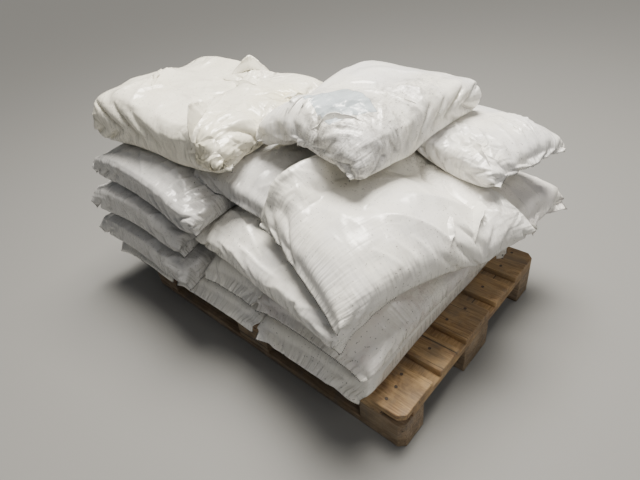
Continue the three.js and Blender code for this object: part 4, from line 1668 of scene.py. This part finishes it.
# %% Toothed edges with Geometry Nodes
TOOTH_PITCH = 0.0052
TOOTH_HEIGHT = 0.0048
TOOTH_FLATNESS = 0.22
TOOTH_SINK = 0.0012
TOOTH_SIDES = 4
TOOTH_LEAST = 0.75
TOOTH_MOST = 1.15
TOOTH_SEED = 11

tooth_recipe = NodeRecipe("seam teeth")
pitch_id = tooth_recipe.input("Pitch")
tooth_id = tooth_recipe.input("Height")
flatness_id = tooth_recipe.input("Flatness")
tooth_seed_id = tooth_recipe.input("Seed", "NodeSocketInt")
start = tooth_recipe.start.outputs
curve = tooth_recipe.node("GeometryNodeMeshToCurve", Mesh=start["Geometry"])
spaced = tooth_recipe.node("GeometryNodeResampleCurve", {"mode": "LENGTH"}, Curve=curve.outputs[0],
                           Length=start["Pitch"])
way_out = tooth_recipe.node("GeometryNodeInputNamedAttribute", {"data_type": "FLOAT_VECTOR"}, Name="out")
along = tooth_recipe.node("GeometryNodeInputTangent")
pointing = tooth_recipe.node("FunctionNodeAlignRotationToVector", {"axis": "Z"},
                             Vector=way_out.outputs[0])
turned = tooth_recipe.node("FunctionNodeAlignRotationToVector", {"axis": "X", "pivot_axis": "Z"},
                           Rotation=pointing.outputs[0], Vector=along.outputs[0])
half_pitch = tooth_recipe.node("ShaderNodeMath", {"operation": "MULTIPLY"})
tooth_recipe.plug(half_pitch.inputs[0], start["Pitch"])
tooth_recipe.plug(half_pitch.inputs[1], 0.5)
tooth = tooth_recipe.node("GeometryNodeMeshCone", Vertices=TOOTH_SIDES, Radius_Top=0.0,
                          Radius_Bottom=half_pitch.outputs[0], Depth=start["Height"])
uneven = tooth_recipe.node("FunctionNodeRandomValue", {"data_type": "FLOAT"}, Seed=start["Seed"])
uneven.inputs[2].default_value = TOOTH_LEAST
uneven.inputs[3].default_value = TOOTH_MOST
size = tooth_recipe.node("ShaderNodeCombineXYZ", X=1.0, Y=start["Flatness"], Z=uneven.outputs[1])
row_of_teeth = tooth_recipe.node("GeometryNodeInstanceOnPoints", Points=spaced.outputs[0],
                                 Instance=tooth.outputs[0], Rotation=turned.outputs[0],
                                 Scale=size.outputs[0])
sunk = tooth_recipe.node("GeometryNodeTranslateInstances", Instances=row_of_teeth.outputs[0],
                         Translation=(0.0, 0.0, -TOOTH_SINK))
tooth_recipe.close(sunk.outputs[0], clean_film)

tooth_inputs = {pitch_id: TOOTH_PITCH, tooth_id: TOOTH_HEIGHT, flatness_id: TOOTH_FLATNESS,
                tooth_seed_id: TOOTH_SEED}
teeth = add_object("seam_teeth", run_recipe(tooth_recipe, seam_marks, tooth_inputs))
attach(teeth, "root")
print("teeth:", len(teeth.data.vertices) // (TOOTH_SIDES + 1))

# %% [markdown]
# ## The two boxes
# The CAD solids and the finished pieces should fill nearly the same box.
